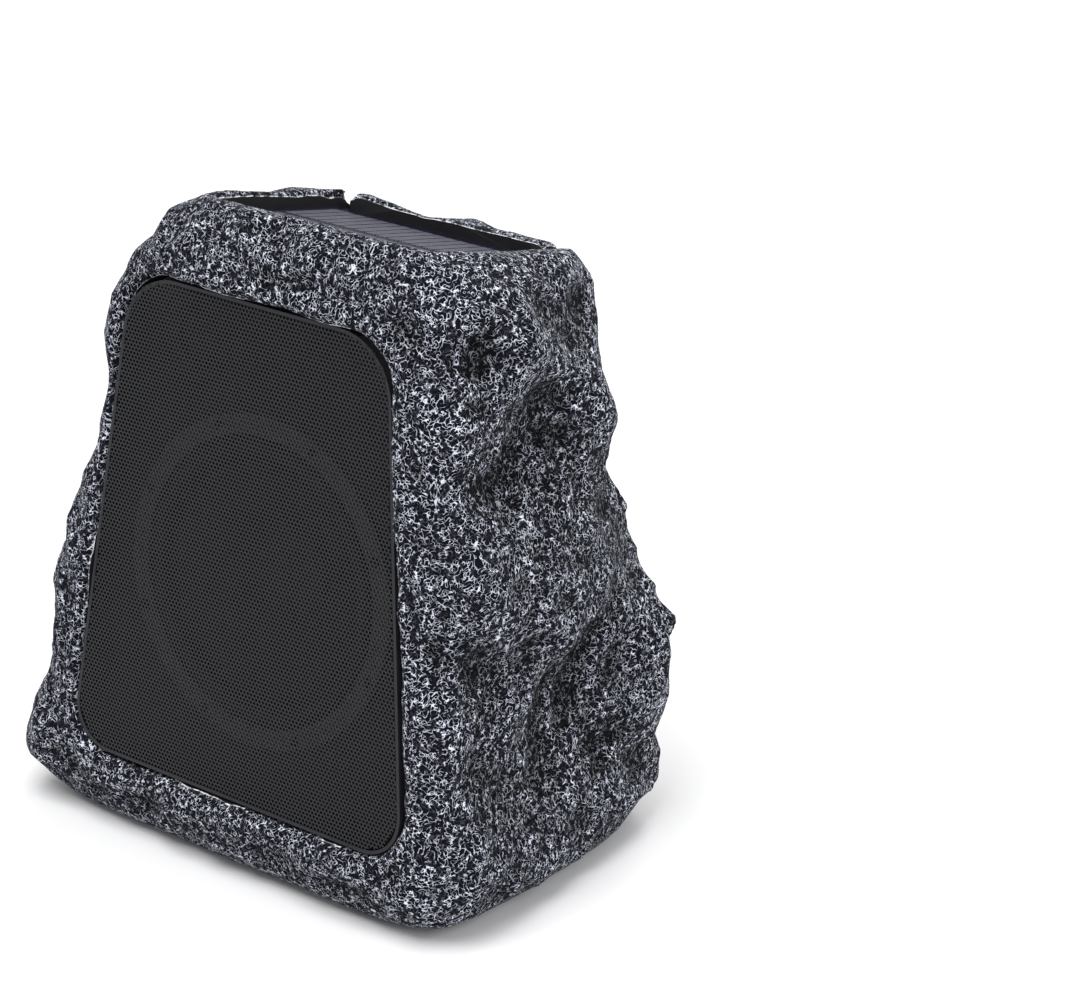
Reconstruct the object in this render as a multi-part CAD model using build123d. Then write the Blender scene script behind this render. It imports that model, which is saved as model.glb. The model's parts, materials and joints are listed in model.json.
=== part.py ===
from build123d import *
import os
from math import cos, hypot, pi, radians, sin, sqrt, tan

# Rock shaped garden speaker. Millimetres and degrees. Front faces -Y, up is +Z.
# The origin is on the floor below the middle of the rock.

# Rock housing
rock_width = 236.0
rock_depth = 166.0
rock_height = 262.0
rock_wall = 4.5
rock_floor = 9.0
foot_lift = 2.0
widest_height = 17.5
front_lean = 7.0
top_tilt = 12.6
crown_front = -46.0
crag_depth = 14.0
front_relief = 0.2
foot_relief = 0.35
foot_relief_share = 0.11
chip_depth = 4.5
core_drop = 2.8
skin_columns = 60
core_columns = 40
skin_bands = 20
skin_foot = (0.0, 0.03, 0.07)
skin_crown = (0.93, 0.97, 1.0)
# Section at a share of the height: shares of half width to the left and right, tuck behind the front line,
# share of half depth at the back
section_profile = (
    (0.00, 0.90, 0.90, 11.0, 0.92),
    (0.03, 0.96, 0.96, 4.0, 0.96),
    (0.07, 1.00, 1.00, 0.0, 0.985),
    (0.26, 0.985, 0.995, 0.0, 1.00),
    (0.48, 0.87, 0.985, 0.0, 0.84),
    (0.70, 0.775, 0.96, 0.0, 0.685),
    (0.86, 0.70, 0.945, 0.5, 0.635),
    (0.94, 0.585, 0.90, 2.0, 0.655),
    (0.98, 0.50, 0.85, 5.0, 0.645),
    (1.00, 0.41, 0.79, 9.0, 0.605),
)
# How square each corner of the section is at the foot and at the crown, counted round from the rear right
foot_squareness = (5.2, 2.6, 8.0, 8.0)
crown_squareness = (4.2, 2.4, 4.0, 5.0)
# Chisel waves over the skin, large crags and smaller chips: direction, wave length and start
crag_waves = (
    (0.62, 0.35, 0.70, 84.0, 0.3),
    (-0.71, 0.42, 0.56, 63.0, 1.1),
    (0.25, -0.80, 0.55, 72.0, 2.0),
    (0.90, 0.10, -0.42, 55.0, 0.7),
)
chip_waves = (
    (0.80, 0.30, 0.52, 43.0, 0.9),
    (-0.45, 0.62, 0.64, 37.0, 2.2),
    (0.30, 0.55, -0.78, 48.0, 0.2),
)
# Separate lumps and hollows of the skin: place, reach and height
crag_lumps = (
    (112.0, 60.0, 74.0, 42.0, 9.0),
    (-104.0, -66.0, 34.0, 30.0, 4.0),
    (-80.0, -56.0, 212.0, 30.0, 7.0),
    (64.0, 62.0, 172.0, 30.0, 5.0),
    (-64.0, 56.0, 150.0, 32.0, 5.0),
    (10.0, 56.0, 150.0, 36.0, -4.0),
)

# Front opening, grille and baffle
front_x = 3.0
opening_foot = 32.25
opening_head = 31.25
opening_bottom_width = 176.0
opening_top_width = 132.0
opening_bottom_corner = 20.0
opening_top_corner = 23.0
opening_clearance = 1.0
landing_width = 8.5
landing_thick = 6.0
grille_setback = 4.5
grille_sheet = 1.0
grille_room = 2.75
grille_hole_pitch = 15.5
grille_hole_flats = 10.5
grille_hole_margin = 9.0
baffle_thick = 9.0
baffle_gasket_thick = 2.0
baffle_screw_length = 16.0
baffle_side_screws = (-64.0, 44.0)
baffle_low_screws = (-52.0, 0.0, 52.0)
baffle_high_screws = (2.0, 38.0)

# Large driver
woofer_rise = -12.0
woofer_radius = 66.5
woofer_flange = 3.0
woofer_gasket_thick = 0.8
woofer_cutout_radius = 59.8
woofer_surround_outer = 57.0
woofer_cone_radius = 46.5
woofer_neck_radius = 13.0
woofer_depth = 38.0
woofer_shelf_depth = 25.0
woofer_travel = 3.0
cone_lip = 2.0
lip_drop = 2.2
surround_sheet = 0.6
trim_thick = 1.6
cone_sheet = 0.8
cone_ring_count = 6
cone_rib_index = 4
cone_rib = 0.7
dome_ring_count = 8
dust_cap_radius = 20.0
dust_cap_rise = 6.5
basket_neck = 30.0
basket_sheet = 2.0
basket_windows = 6
woofer_screw_circle = 62.5
woofer_screw_count = 8
magnet_radius = 40.0
magnet_thick = 15.0
plate_thick = 5.0
pole_radius = 12.2
coil_gap = 0.35

# Small driver
tweeter_x = -40.0
tweeter_drop = 24.0
tweeter_radius = 18.0
tweeter_flange = 2.6
tweeter_body_radius = 13.0
tweeter_body_depth = 18.0
tweeter_dome_radius = 8.9
tweeter_dome_rise = 2.5
tweeter_dome_drop = 0.8
tweeter_screw_circle = 15.6

# Solar panel
panel_x = 19.0
panel_y = 2.3
panel_width = 110.0
panel_length = 72.0
panel_sink = 6.0
panel_clearance = 0.4
cover_thick = 1.0
cell_thick = 0.3
board_thick = 1.6
foam_thick = 0.8
foam_width = 8.0
cell_columns = 18
cell_rows = 2
cell_pitch = 5.75
cell_width = 5.1
cell_length = 29.8
cell_row_gap = 4.4
well_wall = 4.0
drain_width = 7.0
drain_length = 13.0
panel_lead_radius = 3.0

# Rear controls
control_x = 1.0
control_height = 65.0
control_lean = 10.0
control_sink = 1.2
control_reach = 76.5
control_margin = 4.0
control_fade = 26.0
control_width = 90.0
control_length = 46.0
control_thick = 3.2
control_corner = 3.0
control_clearance = 0.4
control_gasket_thick = 0.8
control_block_depth = 12.0
ear_width = 12.0
ear_reach = 4.0
control_screw_x = 41.0
control_screw_y = 18.0
control_screw_ear = 23.0
control_opening_width = 72.0
control_opening_length = 31.0
button_radius = 6.1
button_clearance = 0.2
button_flange = 0.55
button_proud = 0.4
button_travel = 0.8
power_x = -21.6
pairing_x = -7.6
button_y = -3.0
lamp_y = 8.4
lamp_radius = 1.8
cover_x = 24.7
cover_length = 23.4
cover_height = 12.4
cover_sheet = 1.8
cover_corner = 1.2
nub_length = 2.3
nub_height = 5.0
cover_clearance = 0.3
port_width = 9.0
port_height = 3.3
control_board_width = 66.0
control_board_length = 26.0
control_board_drop = 10.5
standoff_x = 29.5
standoff_y = 9.6

# Base, feet, battery and amplifier
base_y = 2.0
base_width = 160.0
base_length = 96.0
base_corner = 26.0
base_thick = 3.0
base_gasket_thick = 0.8
base_clearance = 0.4
base_landing = 8.0
base_side_screw = 16.0
base_end_screw = 40.0
foot_radius = 8.0
foot_inset_x = 16.0
foot_inset_y = 14.0
spigot_radius = 2.5
cell_radius = 9.2
cell_body = 65.2
cell_gap = 0.3
cell_contact = 2.0
base_room = 1.5
holder_wall = 2.0
holder_height = 13.0
amplifier_width = 46.0
amplifier_length = 66.0
amplifier_lift = 6.0
amplifier_inset = 4.0
heatsink_inset = 11.0
heatsink_width = 34.0
heatsink_length = 16.0
heatsink_height = 14.0
heatsink_fins = 8
capacitor_radius = 4.0
capacitor_height = 12.0
capacitor_pitch = 14.0
capacitor_y = -4.0
module_width = 16.0
module_length = 13.0
module_inset_x = 1.0
module_inset_y = 8.5
socket_width = 6.5
socket_length = 5.5
socket_height = 7.0
socket_wall = 0.75
socket_pitch = 8.0
post_radius = 3.0

# Screws
screw_clearance = 0.1
large_screw = (2.9, 1.9, 1.45)
small_screw = (1.9, 1.2, 0.95)
counterbore_clearance = 0.3
fit_gap = 0.1


def crown_height(y):
    """Height of the tilted crown above the floor."""
    return min(rock_height, rock_height - tan(radians(top_tilt)) * (y - crown_front))


def front_line(z):
    """How far forward the flat front lies at a height."""
    return -rock_depth / 2 + tan(radians(front_lean)) * max(0.0, z - widest_height)


def section(rise):
    """Left, right, tuck and back of the section at a share of the height."""
    for low, high in zip(section_profile, section_profile[1:]):
        if rise <= high[0]:
            share = (rise - low[0]) / (high[0] - low[0])
            return [a + (b - a) * share for a, b in zip(low[1:], high[1:])]
    return section_profile[-1][1:]


def ridged(waves, x, y, z):
    """Chiselled relief at a place, from about -1 in a hollow to 1 on a ridge."""
    heights = [
        1 - 2 * abs(sin(pi * (a * x + b * y + c * z) / length + start))
        for a, b, c, length, start in waves
    ]
    return sum(heights) / len(heights)


def lumps(x, y, z):
    """Height of the separate lumps and hollows at a place."""
    spread = [(hypot(x - a, y - b, z - c) / reach, height) for a, b, c, reach, height in crag_lumps]
    return sum(height * (1 - away**2) ** 2 for away, height in spread if away < 1)


def calm(rise, front_share):
    """How strong the relief is: weak on the flat front and at the foot."""
    front_low, front_high = 0.7, 0.9
    flat = min(1.0, max(0.0, (front_share - front_low) / (front_high - front_low)))
    foot = min(1.0, foot_relief + (1 - foot_relief) * rise / foot_relief_share)
    return (1 - (1 - front_relief) * flat) * foot


def rear_flat(x, z):
    """How flat the back is dressed at a place: wholly behind the control plate, then fading out."""
    beside = max(0.0, abs(x - control_x) - control_width / 2 - control_margin)
    above = max(0.0, abs(z - control_height) - control_length / 2 - control_margin)
    return max(0.0, 1 - hypot(beside, above) / control_fade)


def skin_point(turn, rise, chips):
    """Place on the rock's skin in a direction round the section and at a share of the height."""
    left, right, tuck, back = section(rise)
    middle = foot_lift + rise * (crown_height(0) - foot_lift)
    front = front_line(middle) + tuck
    rear = back * rock_depth / 2
    corner = int(turn / (pi / 2)) % 4
    power = foot_squareness[corner] + (crown_squareness[corner] - foot_squareness[corner]) * rise
    reach = (abs(cos(turn)) ** power + abs(sin(turn)) ** power) ** (-1 / power)
    x = (left + right) / 2 * rock_width / 2 * reach * cos(turn)
    y = (rear - front) / 2 * reach * sin(turn)
    place = Vector((right - left) / 2 * rock_width / 2 + x, (front + rear) / 2 + y, 0)
    z = foot_lift + rise * (crown_height(place.Y) - foot_lift)
    spot = tuple(place)[:2] + (z,)
    chiselled = crag_depth * ridged(crag_waves, *spot) + chips * ridged(chip_waves, *spot)
    relief = chiselled * calm(rise, -reach * sin(turn)) + lumps(*spot)
    out = Vector(x, y, 0).normalized()
    rough = Vector(place.X + out.X * relief, place.Y + out.Y * relief, z)
    flat = rear_flat(rough.X, z) if rough.Y > 0 else 0.0
    dressed = control_reach - tan(radians(control_lean)) * (z - control_height)
    return Vector(rough.X, rough.Y + (dressed - rough.Y) * flat, z)


def skin_rises():
    """Shares of the height at which the rings of the skin lie."""
    low, high = skin_foot[-1], skin_crown[0]
    middle = [low + (high - low) * band / skin_bands for band in range(1, skin_bands)]
    return [*skin_foot, *middle, *skin_crown]


def skin_rows(columns, rises, chips):
    """Rings of points over the skin."""
    turns = [2 * pi * column / columns for column in range(columns)]
    return [[skin_point(turn, rise, chips) for turn in turns] for rise in rises]


def stretched(rows, model):
    """Rings of points, stretched as a model needs to have the rock's stated width, depth and height."""
    spread = list(zip(*(tuple(point) for row in model for point in row)))
    low = [min(values) for values in spread]
    high = [max(values) for values in spread]
    low_to = (-rock_width / 2, -rock_depth / 2, foot_lift)
    high_to = (rock_width / 2, rock_depth / 2, rock_height)

    def fitted(point):
        spans = zip(tuple(point), low, high, low_to, high_to)
        return Vector(*(a_to + (value - a) * (b_to - a_to) / (b - a) for value, a, b, a_to, b_to in spans))

    return [[fitted(point) for point in row] for row in rows]


def shrunk_rows(rows, wall):
    """The same rings moved inwards by a wall thickness."""
    inner = []
    for level, row in enumerate(rows):
        below = rows[max(0, level - 1)]
        above = rows[min(len(rows) - 1, level + 1)]
        ring = []
        for column, point in enumerate(row):
            along = row[(column + 1) % len(row)] - row[column - 1]
            normal = along.cross(above[column] - below[column]).normalized()
            moved = point - normal * wall
            ring.append(moved if level else Vector(moved.X, moved.Y, point.Z))
        inner.append(ring)
    return inner


def faceted(rows, cap_drop=0.0):
    """Closed solid of flat facets over rings of points, with a domed fan on top and a flat base."""
    count = len(rows[0])
    triangles = []
    for level in range(len(rows) - 1):
        low, high = rows[level], rows[level + 1]
        for column in range(count):
            after = (column + 1) % count
            a, b, c, d = low[column], low[after], high[after], high[column]
            if (level + column) % 2:
                triangles += [(a, b, c), (a, c, d)]
            else:
                triangles += [(a, b, d), (b, c, d)]
    rim = rows[-1]
    middle = sum(rim, Vector(0, 0, 0)) / count
    top = Vector(middle.X, middle.Y, middle.Z - cap_drop)
    triangles += [(rim[column], rim[(column + 1) % count], top) for column in range(count)]
    faces = [Face(Wire.make_polygon(triangle)) for triangle in triangles]
    faces.append(Face(Wire.make_polygon(rows[0])))
    return Solid(Shell(faces))


def rear_reach():
    """Mean reach of the skin behind the control plate, brought to the height of its middle."""
    lean = tan(radians(control_lean))
    near = [
        point.Y + lean * (point.Z - control_height)
        for row in rock_skin
        for point in row
        if point.Y > 0 and abs(point.X - control_x) < control_width / 2
        and abs(point.Z - control_height) < control_length / 2
    ]
    return sum(near) / len(near)


rough_rows = skin_rows(skin_columns, skin_rises(), chip_depth)
rock_skin = stretched(rough_rows, rough_rows)
rock_core = stretched(skin_rows(core_columns, skin_rises()[::2], 0.0), rough_rows)

# Working planes: each looks outwards from the rock
opening_height = (rock_height - opening_foot - opening_head) / cos(radians(front_lean))
front_height = (rock_height + opening_foot - opening_head) / 2
front_normal = (0, -cos(radians(front_lean)), sin(radians(front_lean)))
front_origin = (front_x, front_line(front_height), front_height)
front_plane = Plane(origin=front_origin, x_dir=(1, 0, 0), z_dir=front_normal)
top_normal = (0, sin(radians(top_tilt)), cos(radians(top_tilt)))
top_plane = Plane(origin=(panel_x, panel_y, crown_height(panel_y)), x_dir=(1, 0, 0), z_dir=top_normal)
rear_normal = (0, cos(radians(control_lean)), sin(radians(control_lean)))
rear_origin = (control_x, rear_reach() - control_sink, control_height)
rear_plane = Plane(origin=rear_origin, x_dir=(-1, 0, 0), z_dir=rear_normal)
base_plane = Plane(origin=(0, base_y, foot_lift))

surround_height = (woofer_surround_outer - woofer_cone_radius - cone_lip) / 2
grille_gap = surround_height + woofer_travel + grille_room
baffle_front = -(grille_setback + grille_sheet + grille_gap)
baffle_back = baffle_front - baffle_thick
landing_front = baffle_back - baffle_gasket_thick
landing_back = landing_front - landing_thick
woofer_plane = front_plane * Pos(0, woofer_rise, baffle_front)
tweeter_plane = front_plane * Pos(tweeter_x, opening_height / 2 - tweeter_drop, baffle_front)
panel_bottom = -(panel_sink + cover_thick + board_thick)
well_bottom = panel_bottom - foam_thick
base_landing_height = base_thick + base_gasket_thick
base_inside = base_width / 2 - base_landing - base_room
cell_spread = cell_radius + holder_wall / 2 + cell_gap
holder_length = cell_body + 2 * (holder_wall + 2 * cell_gap + cell_contact)
holder_width = 4 * cell_spread
holder_x = -base_inside + holder_length / 2 + holder_wall + fit_gap
amplifier_x = base_inside - amplifier_width / 2
amplifier_low = base_thick + amplifier_lift
amplifier_top = amplifier_low + board_thick


def slab(place, sketch, low, high):
    """Straight-walled solid on a plane between two heights."""
    return place * Pos(0, 0, low) * extrude(sketch, amount=high - low)


def spun(place, points):
    """Solid turned about a plane's own axis from points of radius and height."""
    return place * revolve(Plane.XZ * make_face(Polyline(*points, close=True)), Axis.Z)


def tube(place, inner, outer, low, high):
    """Plain ring between two heights."""
    return spun(place, [(inner, low), (outer, low), (outer, high), (inner, high)])


def rod(place, radius, low, high):
    """Plain round bar between two heights."""
    on_low = (Align.CENTER, Align.CENTER, Align.MIN)
    return place * Pos(0, 0, low) * Cylinder(radius, high - low, align=on_low)


def screws(place, spots, sizes, length, head_height):
    """Pan-headed screws that point into a plane, one solid each."""
    head, thick, shank = sizes
    tip = 0.6 * shank
    profile = [
        (0, thick),
        (0.6 * head, thick),
        (head, 0.45 * thick),
        (head, 0),
        (shank, 0),
        (shank, -length + tip),
        (shank - tip, -length),
        (0, -length),
    ]
    return [spun(place * Pos(x, y, head_height), profile) for x, y in spots]


def pilots(place, spots, sizes, low, high):
    """Round holes for a set of screws."""
    return [rod(place * Pos(x, y, 0), sizes[2] + screw_clearance, low, high) for x, y in spots]


def counterbores(place, spots, sizes, low, high):
    """Round pockets for a set of screw heads."""
    return [rod(place * Pos(x, y, 0), sizes[0] + counterbore_clearance, low, high) for x, y in spots]


def half_width(rise, grow=0.0):
    """Half width of the front opening at a height on its face, grown all round."""
    slope = (opening_bottom_width - opening_top_width) / 2 / opening_height
    return opening_bottom_width / 2 - slope * (rise + opening_height / 2) + grow * sqrt(1 + slope**2)


def opening_outline(grow=0.0):
    """Round-cornered outline of the front opening, wider at the foot, grown all round."""
    top = opening_height / 2 + grow
    low = half_width(-top, grow)
    high = half_width(top, grow)
    points = [(-low, -top), (low, -top), (high, top), (-high, top)]
    lower, upper = opening_bottom_corner + grow, opening_top_corner + grow
    outline = FilletPolyline(*points, radius=[lower, lower, upper, upper], close=True)
    return make_face(outline)


def baffle_screw_spots():
    """Screw places along the landing of the front opening."""
    middle = -(opening_clearance + grille_sheet + large_screw[0] + counterbore_clearance)
    edge = opening_height / 2 + middle
    sides = [(side * half_width(rise, middle), rise) for side in (-1, 1) for rise in baffle_side_screws]
    return sides + [(x, -edge) for x in baffle_low_screws] + [(x, edge) for x in baffle_high_screws]


def control_outline(grow=0.0):
    """Outline of the control plate with an ear at its top and bottom, grown all round."""
    width, length = control_width + 2 * grow, control_length + 2 * grow
    plate = RectangleRounded(width, length, control_corner + grow)
    ear = ear_width + 2 * grow
    ears = RectangleRounded(ear, length + 2 * ear_reach, control_corner)
    return plate + ears


def control_screw_spots():
    """Screw places of the control plate: four corners and two ears."""
    rows = (-control_screw_y, control_screw_y)
    corners = [(x, y) for x in (-control_screw_x, control_screw_x) for y in rows]
    return corners + [(0, -control_screw_ear), (0, control_screw_ear)]


def base_outline(grow=0.0):
    """Outline of the base plate, grown all round."""
    return RectangleRounded(base_width + 2 * grow, base_length + 2 * grow, base_corner + grow)


def base_screw_spots():
    """Screw places of the base plate, along the middle of its landing."""
    x, y = (base_width - base_landing) / 2, (base_length - base_landing) / 2
    sides = [(a * x, b * base_side_screw) for a in (-1, 1) for b in (-1, 1)]
    ends = [(a * base_end_screw, b * y) for a in (-1, 1) for b in (-1, 1)]
    return sides + ends


def drain_spots():
    """Middle of each drain slot across the panel well."""
    x = panel_width / 2 + panel_clearance - drain_width / 2
    return (-x, x)


def drain_outline(grow=0.0):
    """Round-ended slot that runs out of the well towards the rear."""
    length = drain_length + panel_length / 4
    slot = SlotOverall(length + drain_width + 2 * grow, drain_width + 2 * grow, rotation=90)
    end = -(panel_length / 2 + panel_clearance + drain_length)
    return [Pos(x, -end - (length + drain_width) / 2, 0) * slot for x in drain_spots()]


def rock_shell():
    """Moulded rock: hollow, with the front opening, panel well, control pocket and base recess."""
    outer = faceted(rock_skin)
    inner = faceted(shrunk_rows(rock_core, rock_wall + core_drop), rock_wall)
    well = Rectangle(panel_width + 2 * panel_clearance, panel_length + 2 * panel_clearance)
    well_outside = Rectangle(
        panel_width + 2 * (panel_clearance + well_wall), panel_length + 2 * (panel_clearance + well_wall)
    )
    reach = rock_height
    blocks = [
        Pos(0, 0, foot_lift + rock_floor - reach / 2) * Box(2 * rock_width, 2 * rock_depth, reach),
        slab(front_plane, opening_outline(rock_wall), landing_back, rock_wall),
        slab(top_plane, well_outside, well_bottom - well_wall, reach / 10),
        slab(rear_plane, control_outline(rock_wall), -control_block_depth, reach / 10),
    ]
    slots = drain_outline(well_wall)
    blocks += [slab(top_plane, slot, well_bottom - well_wall, reach / 10) for slot in slots]
    cavity = inner - blocks
    gap = opening_clearance
    lead_place = top_plane * Pos(0, panel_length / 4, 0)
    pocket_floor = -(control_thick + control_gasket_thick)
    cuts = [
        cavity,
        slab(front_plane, opening_outline(), landing_front, reach / 10),
        slab(front_plane, opening_outline(-landing_width), landing_back - gap, landing_front + gap),
        slab(top_plane, well, well_bottom, reach / 10),
        rod(lead_place, panel_lead_radius, well_bottom - 2 * well_wall, well_bottom + gap),
        slab(rear_plane, control_outline(control_clearance), pocket_floor, reach / 10),
        slab(
            rear_plane,
            RectangleRounded(control_opening_width, control_opening_length, control_corner),
            -control_block_depth - reach / 10,
            0,
        ),
        slab(base_plane, base_outline(base_clearance), -foot_lift, base_landing_height),
        slab(base_plane, base_outline(-base_landing), -foot_lift, rock_floor + gap),
    ]
    cuts += [slab(top_plane, slot, well_bottom, reach / 10) for slot in drain_outline()]
    cuts += pilots(front_plane, baffle_screw_spots(), large_screw, landing_back + gap, landing_front + gap)
    cuts += pilots(rear_plane, control_screw_spots(), large_screw, -control_block_depth + gap, -control_thick)
    cuts += pilots(base_plane, base_screw_spots(), large_screw, base_thick, rock_floor - gap)
    return outer - cuts


def grille_holes():
    """Places of the holes in staggered rows, kept clear of the folded edge."""
    spots = []
    step = grille_hole_pitch * sqrt(3) / 2
    top = opening_height / 2 - grille_hole_margin - grille_hole_flats / 2
    rows = int(top / step)
    for row in range(-rows, rows + 1):
        y = row * step
        room = half_width(y) - grille_hole_margin - grille_hole_flats / 2
        corner = opening_top_corner if y > 0 else opening_bottom_corner
        bite = max(0.0, abs(y) - (top - corner / 2))
        offset = grille_hole_pitch / 2 if row % 2 else 0.0
        columns = int((room - bite + offset) / grille_hole_pitch)
        for column in range(-columns, columns + 1):
            x = column * grille_hole_pitch + offset
            if abs(x) <= room - bite:
                spots.append((x, y))
    return spots


def grille():
    """Perforated sheet with its edge folded back to the baffle."""
    face = opening_outline(-opening_clearance)
    inside = opening_outline(-opening_clearance - grille_sheet)
    front = -grille_setback
    back = front - grille_sheet
    hole = RegularPolygon(grille_hole_flats / 2, 6, major_radius=False)
    holes = [Pos(x, y, 0) * hole for x, y in grille_holes()]
    sheet = slab(front_plane, face - holes, back, front)
    return sheet + slab(front_plane, face - inside, baffle_front, back)


def baffle():
    """Board that carries both drivers, with a rebate for each flange."""
    face = opening_outline(-opening_clearance)
    board = slab(front_plane, face, baffle_back, baffle_front)
    woofer_rebate = woofer_flange + woofer_gasket_thick
    cuts = [
        rod(woofer_plane, woofer_cutout_radius, -2 * baffle_thick, baffle_thick),
        rod(woofer_plane, woofer_radius + fit_gap, -woofer_rebate, baffle_thick),
        rod(tweeter_plane, tweeter_body_radius + fit_gap, -2 * baffle_thick, baffle_thick),
        rod(tweeter_plane, tweeter_radius + fit_gap, -tweeter_flange, baffle_thick),
    ]
    cuts += pilots(front_plane, baffle_screw_spots(), large_screw, 2 * baffle_back, 0)
    cuts += pilots(woofer_plane, woofer_screw_spots(), small_screw, -baffle_thick + 1, 0)
    cuts += pilots(tweeter_plane, tweeter_screw_spots(), small_screw, -baffle_thick + 1, 0)
    return board - cuts


def baffle_gasket():
    """Soft ring between the baffle and the landing."""
    ring = opening_outline(-opening_clearance) - opening_outline(-landing_width)
    gasket = slab(front_plane, ring, landing_front, baffle_back)
    return gasket - pilots(front_plane, baffle_screw_spots(), large_screw, landing_front - 1, baffle_back + 1)


def woofer_screw_spots():
    """Screw places round the large driver's flange."""
    turns = [2 * pi * (index + 0.5) / woofer_screw_count for index in range(woofer_screw_count)]
    return [(woofer_screw_circle * cos(turn), woofer_screw_circle * sin(turn)) for turn in turns]


def tweeter_screw_spots():
    """Screw places round the small driver's flange."""
    turns = [pi / 2 + 2 * pi * index / 3 for index in range(3)]
    return [(tweeter_screw_circle * cos(turn), tweeter_screw_circle * sin(turn)) for turn in turns]


def woofer_basket():
    """Pressed frame of the large driver: flange, six windows, spider shelf and magnet seat."""
    outer = woofer_surround_outer
    shelf = woofer_shelf_depth
    neck = basket_neck
    sheet = basket_sheet
    profile = [
        (outer, 0),
        (woofer_radius, 0),
        (woofer_radius, -woofer_flange),
        (outer + 2.4, -woofer_flange),
        (outer + 1.2, -woofer_flange - 3),
        (neck + 5.2, -shelf - 0.5),
        (neck + 5.2, -shelf - 2),
        (neck + sheet, -shelf - 2.5),
        (neck + sheet, -woofer_depth),
        (woofer_neck_radius + sheet, -woofer_depth),
        (woofer_neck_radius + sheet, -woofer_depth + sheet),
        (neck, -woofer_depth + sheet),
        (neck, -shelf),
        (neck + 3.4, -shelf),
        (outer - 0.8, -woofer_flange - 2.4),
        (outer, -woofer_flange),
    ]
    frame = spun(woofer_plane, profile)
    near, far = neck + 8, outer + 6
    near_half, far_half = 10, 17
    corners = [(near, -near_half), (far, -far_half), (far, far_half), (near, near_half)]
    window = make_face(Polyline(*corners, close=True))
    windows = [
        slab(woofer_plane * Rot(0, 0, 360 / basket_windows * index), window, -shelf + 4, -woofer_flange - 6)
        for index in range(basket_windows)
    ]
    holes = pilots(woofer_plane, woofer_screw_spots(), small_screw, -2 * woofer_flange, woofer_flange)
    return frame - windows - holes


def woofer_gasket():
    """Thin ring under the large driver's flange."""
    low = -woofer_flange - woofer_gasket_thick
    ring = tube(woofer_plane, woofer_cutout_radius, woofer_radius, low, -woofer_flange)
    return ring - pilots(woofer_plane, woofer_screw_spots(), small_screw, low - 1, -woofer_flange + 1)


def woofer_surround():
    """Half-roll rubber edge between the cone and the basket."""
    inside, outside = woofer_cone_radius + cone_lip, woofer_surround_outer
    middle, height = (inside + outside) / 2, surround_height
    low = -lip_drop
    top = surround_sheet
    over = ThreePointArc((inside - 0.3, low + top), (middle, height), (outside + 0.2, top))
    under = ThreePointArc((outside - 0.1, 0), (middle, height - top), (inside + 0.4, low))
    edge = [
        over,
        Polyline(
            (outside + 0.2, top),
            (woofer_radius - 0.5, top),
            (woofer_radius - 0.5, 0),
            (outside - 0.1, 0),
        ),
        under,
        Polyline(
            (inside + 0.4, low),
            (inside - cone_lip, low),
            (inside - cone_lip, low + top),
            (inside - 0.3, low + top),
        ),
    ]
    ring = woofer_plane * revolve(Plane.XZ * make_face(edge), Axis.Z)
    return ring - pilots(woofer_plane, woofer_screw_spots(), small_screw, -1, 1)


def woofer_trim_ring():
    """Ring that clamps the rubber edge on the flange."""
    inner, outer = woofer_surround_outer + 0.8, woofer_radius - 0.3
    low, high = surround_sheet, surround_sheet + trim_thick
    profile = [
        (inner, low),
        (outer, low),
        (outer, high - 0.5),
        (outer - 0.5, high),
        (inner + 0.5, high),
        (inner, high - 0.5),
    ]
    return spun(woofer_plane, profile) - pilots(woofer_plane, woofer_screw_spots(), small_screw, 0, 2 * high)


def cone_height(radius):
    """Front face of the cone at a radius: a flare that steepens towards the neck."""
    share = (radius - woofer_neck_radius) / (woofer_cone_radius - woofer_neck_radius)
    return -woofer_shelf_depth + 4 + (woofer_shelf_depth - 4 - lip_drop) * share**0.85


def woofer_cone():
    """Pressed cone with one stiffening ring and a flat lip for the rubber edge."""
    step = (woofer_cone_radius - woofer_neck_radius) / cone_ring_count
    radii = [woofer_neck_radius + step * index for index in range(cone_ring_count + 1)]
    ribbed = [cone_rib if index == cone_rib_index else 0.0 for index in range(cone_ring_count + 1)]
    front = [(radius, cone_height(radius) + rib) for radius, rib in zip(radii, ribbed)]
    back = [(radius, height - cone_sheet) for radius, height in front]
    rim = woofer_cone_radius + cone_lip
    lip = [(rim, -lip_drop), (rim, -lip_drop - cone_sheet)]
    return spun(woofer_plane, front + lip + back[::-1])


def dome_curve(radius, foot, rise):
    """Points over a dome from its middle out to its edge."""
    turns = [pi / 2 * index / dome_ring_count for index in range(dome_ring_count + 1)]
    return [(radius * sin(turn), foot + rise * (cos(turn) + cos(turn) ** 2) / 2) for turn in turns]


def woofer_dust_cap():
    """Domed cap over the cone's neck."""
    sheet, glue = 0.6, 0.2
    foot = cone_height(dust_cap_radius) + glue
    front = dome_curve(dust_cap_radius, foot, dust_cap_rise)
    back = dome_curve(dust_cap_radius - sheet, foot, dust_cap_rise - sheet)
    return spun(woofer_plane, front + back[::-1])


coil_outer = woofer_neck_radius + 0.35


def woofer_voice_coil():
    """Tube on the cone's neck with its winding at the magnet's gap."""
    inner = pole_radius + coil_gap
    top = cone_height(woofer_neck_radius)
    foot = -woofer_depth - plate_thick - 2
    wound = -woofer_depth + 1.5
    profile = [
        (inner, foot),
        (coil_outer, foot),
        (coil_outer, wound),
        (woofer_neck_radius, wound),
        (woofer_neck_radius, top),
        (inner, top),
    ]
    return spun(woofer_plane, profile)


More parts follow.
